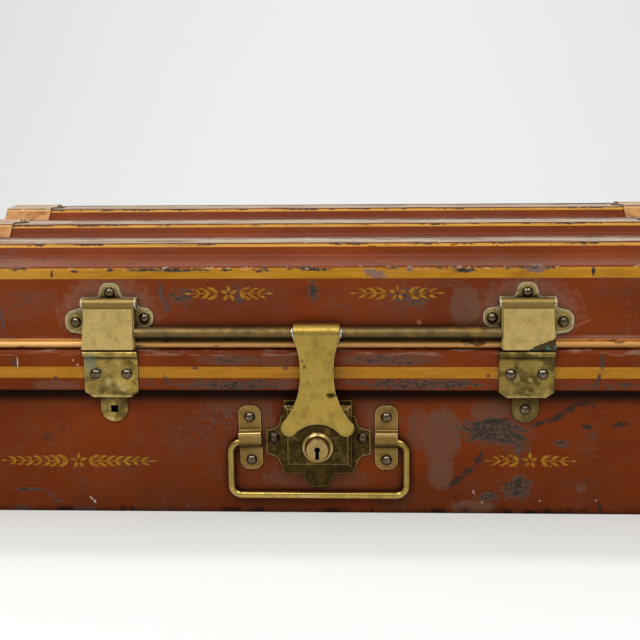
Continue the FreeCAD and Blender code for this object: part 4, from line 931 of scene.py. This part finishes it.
def strip(build, rows):
    """Faces between rows of two vertices."""
    for row, after in zip(rows, rows[1:]):
        build.faces.new((row[0], row[1], after[1], after[0]))


def finished(name, build):
    """A smooth mesh from a bmesh."""
    mesh = bpy.data.meshes.new(name)
    bmesh.ops.recalc_face_normals(build, faces=build.faces)
    build.to_mesh(mesh)
    build.free()
    for face in mesh.polygons:
        face.use_smooth = True
    return mesh


def piece(name, build, material, body):
    """A new object in the row's frame that rides on a CAD body."""
    mesh = finished(name, build)
    mesh.materials.append(material)
    made = placed(name, mesh)
    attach(made, body)


rivet_apart = 9 * MM
arc_steps = 6


def rivet_centers(node):
    """Middle points (x, z) of the rivets in a node, in metres."""
    groups = []
    for vertex in nodes[node].data.vertices:
        x, z = vertex.co.x, vertex.co.z
        for group in groups:
            if math.hypot(group[0][0] - x, group[0][1] - z) < rivet_apart:
                group.append((x, z))
                break
        else:
            groups.append([(x, z)])
    return [[(min(values) + max(values)) / 2 for values in zip(*group)] for group in groups]


dimple_inner = 4.15 * MM
dimple_outer = 5.5 * MM
dimple_height = 0.4 * MM


def dimples(name, rivets, seat_y, material, body):
    """The raised rings of brass that setting the rivets has left round their heads."""
    build = bmesh.new()
    profile = [(dimple_inner, 0.0)]
    middle = (dimple_inner + dimple_outer) / 2
    half = (dimple_outer - dimple_inner) / 2
    for step in range(1, arc_steps):
        angle = math.pi * (1 - step / arc_steps)
        profile.append((middle + half * math.cos(angle), dimple_height * math.sin(angle)))
    profile.append((dimple_outer, 0.0))
    for x, z in rivet_centers(rivets):
        lathe(build, profile, (x, seat_y, z), (0, -1, 0))
    piece(name, build, material, body)


solder_lean = Vector((0, -0.8, 0.6))
solder_reach = 1.7 * MM


def solder_fillets():
    """Beads of solder where the bar enters the hasp's knuckle."""
    bar_radius = (bar_high.z - bar_low.z) / 2
    center_y = (bar_low.y + bar_high.y) / 2
    center_z = (bar_low.z + bar_high.z) / 2
    build = bmesh.new()
    knuckle = [vertex.co.x for vertex in nodes["hasp"].data.vertices if vertex.co.z > center_z]
    for x, side in ((min(knuckle), -1), (max(knuckle), 1)):
        profile = []
        for step in range(arc_steps + 1):
            angle = math.pi / 2 * step / arc_steps
            profile.append((bar_radius + solder_reach * (1 - math.sin(angle)),
                            solder_reach * (1 - math.cos(angle))))
        lathe(build, profile, (x, center_y, center_z), (side, 0, 0))
    for vertex in build.verts:
        out = Vector((0, vertex.co.y - center_y, vertex.co.z - center_z))
        share = max(0.0, out.normalized().dot(solder_lean)) ** 0.7
        run = vertex.co.x - (max(knuckle) if vertex.co.x > 0 else min(knuckle))
        vertex.co -= out.normalized() * (out.length - bar_radius) * (1 - share)
        vertex.co.x -= run * (1 - share)
    piece("hasp_solder", build, solder_metal(), "fastening")


# Painted ornament: two leafy sprigs beside a small flower

leaf_steps = 8
leaf_half_share = 0.13
petal_half_share = 0.24
stroke_half = 0.5 * MM
stroke_tip = 0.1 * MM
paint_rise = 0.1 * MM
petals = 5
ornament_height = 18.5 * MM

# Shares of the ornament's height, and angles in radians
pair_gap = 0.36
leaf_length = 0.54
leaf_shrink = 0.2
tip_length = 0.3
petal_foot = 0.07
sprig_foot = 0.44
leaf_lean = 0.85
leaf_bend = 0.45


def ribbon(build, points, face_y):
    """A flat brush stroke through points, each (x, z, half its width)."""
    last = len(points) - 1
    rows = []
    for index, (x, z, half) in enumerate(points):
        before = points[max(index - 1, 0)]
        after = points[min(index + 1, last)]
        along = Vector((after[0] - before[0], after[1] - before[1])).normalized()
        rows.append([build.verts.new((x - along.y * half, face_y, z + along.x * half)),
                     build.verts.new((x + along.y * half, face_y, z - along.x * half))])
    strip(build, rows)


def leaf(build, x, z, angle, bend, length, face_y, half_share=leaf_half_share):
    """A pointed leaf that grows from a place at an angle and bends on its way."""
    points = []
    for step in range(leaf_steps + 1):
        share = step / leaf_steps
        heading = angle + bend * share
        half = stroke_tip + length * half_share * math.sin(math.pi * share ** 0.8)
        points.append((x + length * share * math.cos(heading), z + length * share * math.sin(heading), half))
    ribbon(build, points, face_y)


def sprig(build, x, z, side, length, height, face_y):
    """A stem with pairs of leaves that get smaller towards its tip."""
    pairs = round(length / (height * pair_gap))
    stem = [(x + side * length * step / pairs, z, stroke_half * (1 - 0.5 * step / pairs))
            for step in range(pairs + 1)]
    ribbon(build, stem, face_y)
    along = 0.0 if side > 0 else math.pi
    for step in range(pairs):
        size = height * (leaf_length - leaf_shrink * step / pairs)
        for lean in (-leaf_lean, leaf_lean):
            leaf(build, stem[step][0], z, along + lean, -lean * leaf_bend, size, face_y - paint_rise / 4)
    leaf(build, stem[pairs][0], z, along, 0.0, height * tip_length, face_y - paint_rise / 4)


def ornament(material, name, middle_x, z, half_length, body):
    """Painted leaves on the front, in metres."""
    height = ornament_height
    build = bmesh.new()
    face_y = wall_y - paint_rise
    for petal in range(petals):
        angle = math.tau * (petal + 0.25) / petals
        foot_x = middle_x + height * petal_foot * math.cos(angle)
        foot_z = z + height * petal_foot * math.sin(angle)
        leaf(build, foot_x, foot_z, angle, 0.0, height * tip_length, face_y, petal_half_share)
    foot = height * sprig_foot
    length = half_length - foot - height * tip_length
    for side in (-1, 1):
        sprig(build, middle_x + side * foot, z, side, length, height, face_y)
    piece(name, build, material, body)


# Ornaments in metres: name, middle, height above the floor, half the length, and the body
ornament_places = [
    ("lid_ornament_left", -0.0666, 0.1730, 0.0340, "lid"),
    ("lid_ornament_right", 0.0606, 0.1730, 0.0358, "lid"),
    ("base_ornament_left", -0.1875, 0.0409, 0.0618, "base"),
    ("base_ornament_right", 0.1619, 0.0425, 0.0360, "base"),
]


def make_ornaments():
    material = ornament_paint()
    for place in ornament_places:
        ornament(material, *place)


# Paint that has gathered in the folds at the feet of the ribs

rib_slope = math.atan2(rib_rise, rib_run)
fold_reach = 3.4 * MM


def rib_folds():
    """Hollow coves of paint along both feet of each rib."""
    build = bmesh.new()
    for place in ("front", "middle", "rear"):
        low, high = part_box("lid_rib_" + place)
        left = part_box("rib_cap_" + place + "_left")[1].x
        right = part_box("rib_cap_" + place + "_right")[0].x
        for foot, side in ((low.y, 1), (high.y, -1)):
            rows = []
            for step in range(arc_steps + 1):
                share = step / arc_steps
                outward = -fold_reach * (1 - share) ** 2 + fold_reach * math.cos(rib_slope) * share ** 2
                upward = fold_reach * math.sin(rib_slope) * share ** 2
                rows.append([build.verts.new((x, foot + side * outward, low.z + upward))
                             for x in (left, right)])
            strip(build, rows)
    piece("rib_folds", build, nodes["lid_rib_front"].data.materials[0], "lid")


# Stage, light and camera

world_level = 0.35


def make_stage():
    """A pale floor that curves up into a wall behind the trunk."""
    build = bmesh.new()
    half_width = 40.0
    front = -40.0
    bend_start = 1.6
    bend_radius = 0.9
    top = 4.0
    profile = [(front, 0.0)]
    bends = 12
    for bend in range(bends + 1):
        angle = math.pi / 2 * bend / bends
        profile.append((bend_start + bend_radius * math.sin(angle), bend_radius * (1 - math.cos(angle))))
    profile.append((bend_start + bend_radius, top))
    strip(build, [[build.verts.new((side * half_width, y, z)) for side in (-1, 1)] for y, z in profile])
    mesh = finished("floor", build)
    material = bpy.data.materials.new("floor")
    material.use_nodes = True
    inputs = material.node_tree.nodes["Principled BSDF"].inputs
    inputs["Base Color"].default_value = BACKDROP
    inputs["Roughness"].default_value = 0.9
    inputs["Specular IOR Level"].default_value = 0.1
    mesh.materials.append(material)
    floor = placed("floor", mesh)


def make_world():
    world = bpy.data.worlds.new("studio")
    scene.world = world
    world.use_nodes = True
    inputs = world.node_tree.nodes["Background"].inputs
    inputs["Color"].default_value = WHITE
    inputs["Strength"].default_value = world_level


# Lamps in metres and watts: name, place, aim, width, height and power
trunk_middle = (0, 0, 0.1)
lamps = [
    ("key_left", (-0.7, -1.1, 1.6), trunk_middle, 0.8, 0.6, 17),
    ("key_right", (0.7, -1.1, 1.6), trunk_middle, 0.8, 0.6, 13),
    ("overhead", (-0.35, 0.35, 1.7), trunk_middle, 1.6, 0.8, 6),
    ("backdrop_light", (0, 0.9, 2.4), (0, 2.3, 0.5), 3.0, 0.6, 36),
]


def softbox(name, place, aim, width, height, watts):
    light = bpy.data.lights.new(name, "AREA")
    light.shape = "RECTANGLE"
    light.size = width
    light.size_y = height
    light.energy = watts
    made = placed(name, light)
    made.location = place
    made.rotation_euler = (Vector(aim) - Vector(place)).to_track_quat("-Z", "Y").to_euler()


# The photograph's camera, found by fitting the trunk's straight lines
camera_place = (0.0516, -1.1451, 0.3329)
camera_yaw = 0.053
camera_pitch = 0.191
camera_roll = -0.011
camera_lens = 70.74
camera_near = 0.05


def make_camera():
    camera = bpy.data.cameras.new("camera")
    camera.lens = camera_lens
    camera.clip_start = camera_near
    made = placed("camera", camera)
    level = Matrix.Rotation(math.pi / 2, 4, "X")
    turn = (Matrix.Rotation(camera_yaw, 4, "Z") @ Matrix.Rotation(-camera_pitch, 4, "X")
            @ Matrix.Rotation(-camera_roll, 4, "Y"))
    made.matrix_world = Matrix.Translation(camera_place) @ turn @ level
    scene.camera = made


dress_all()
ring_brass = brass("dimple_brass", tarnish=0.4).done()
dimples("clasp_dimples", "clasp_rivets", plate_face_y, ring_brass, "lid")
solder_fillets()
rib_folds()
make_ornaments()
make_stage()
make_world()
for lamp in lamps:
    softbox(*lamp)
make_camera()
scene.view_settings.view_transform = "Standard"
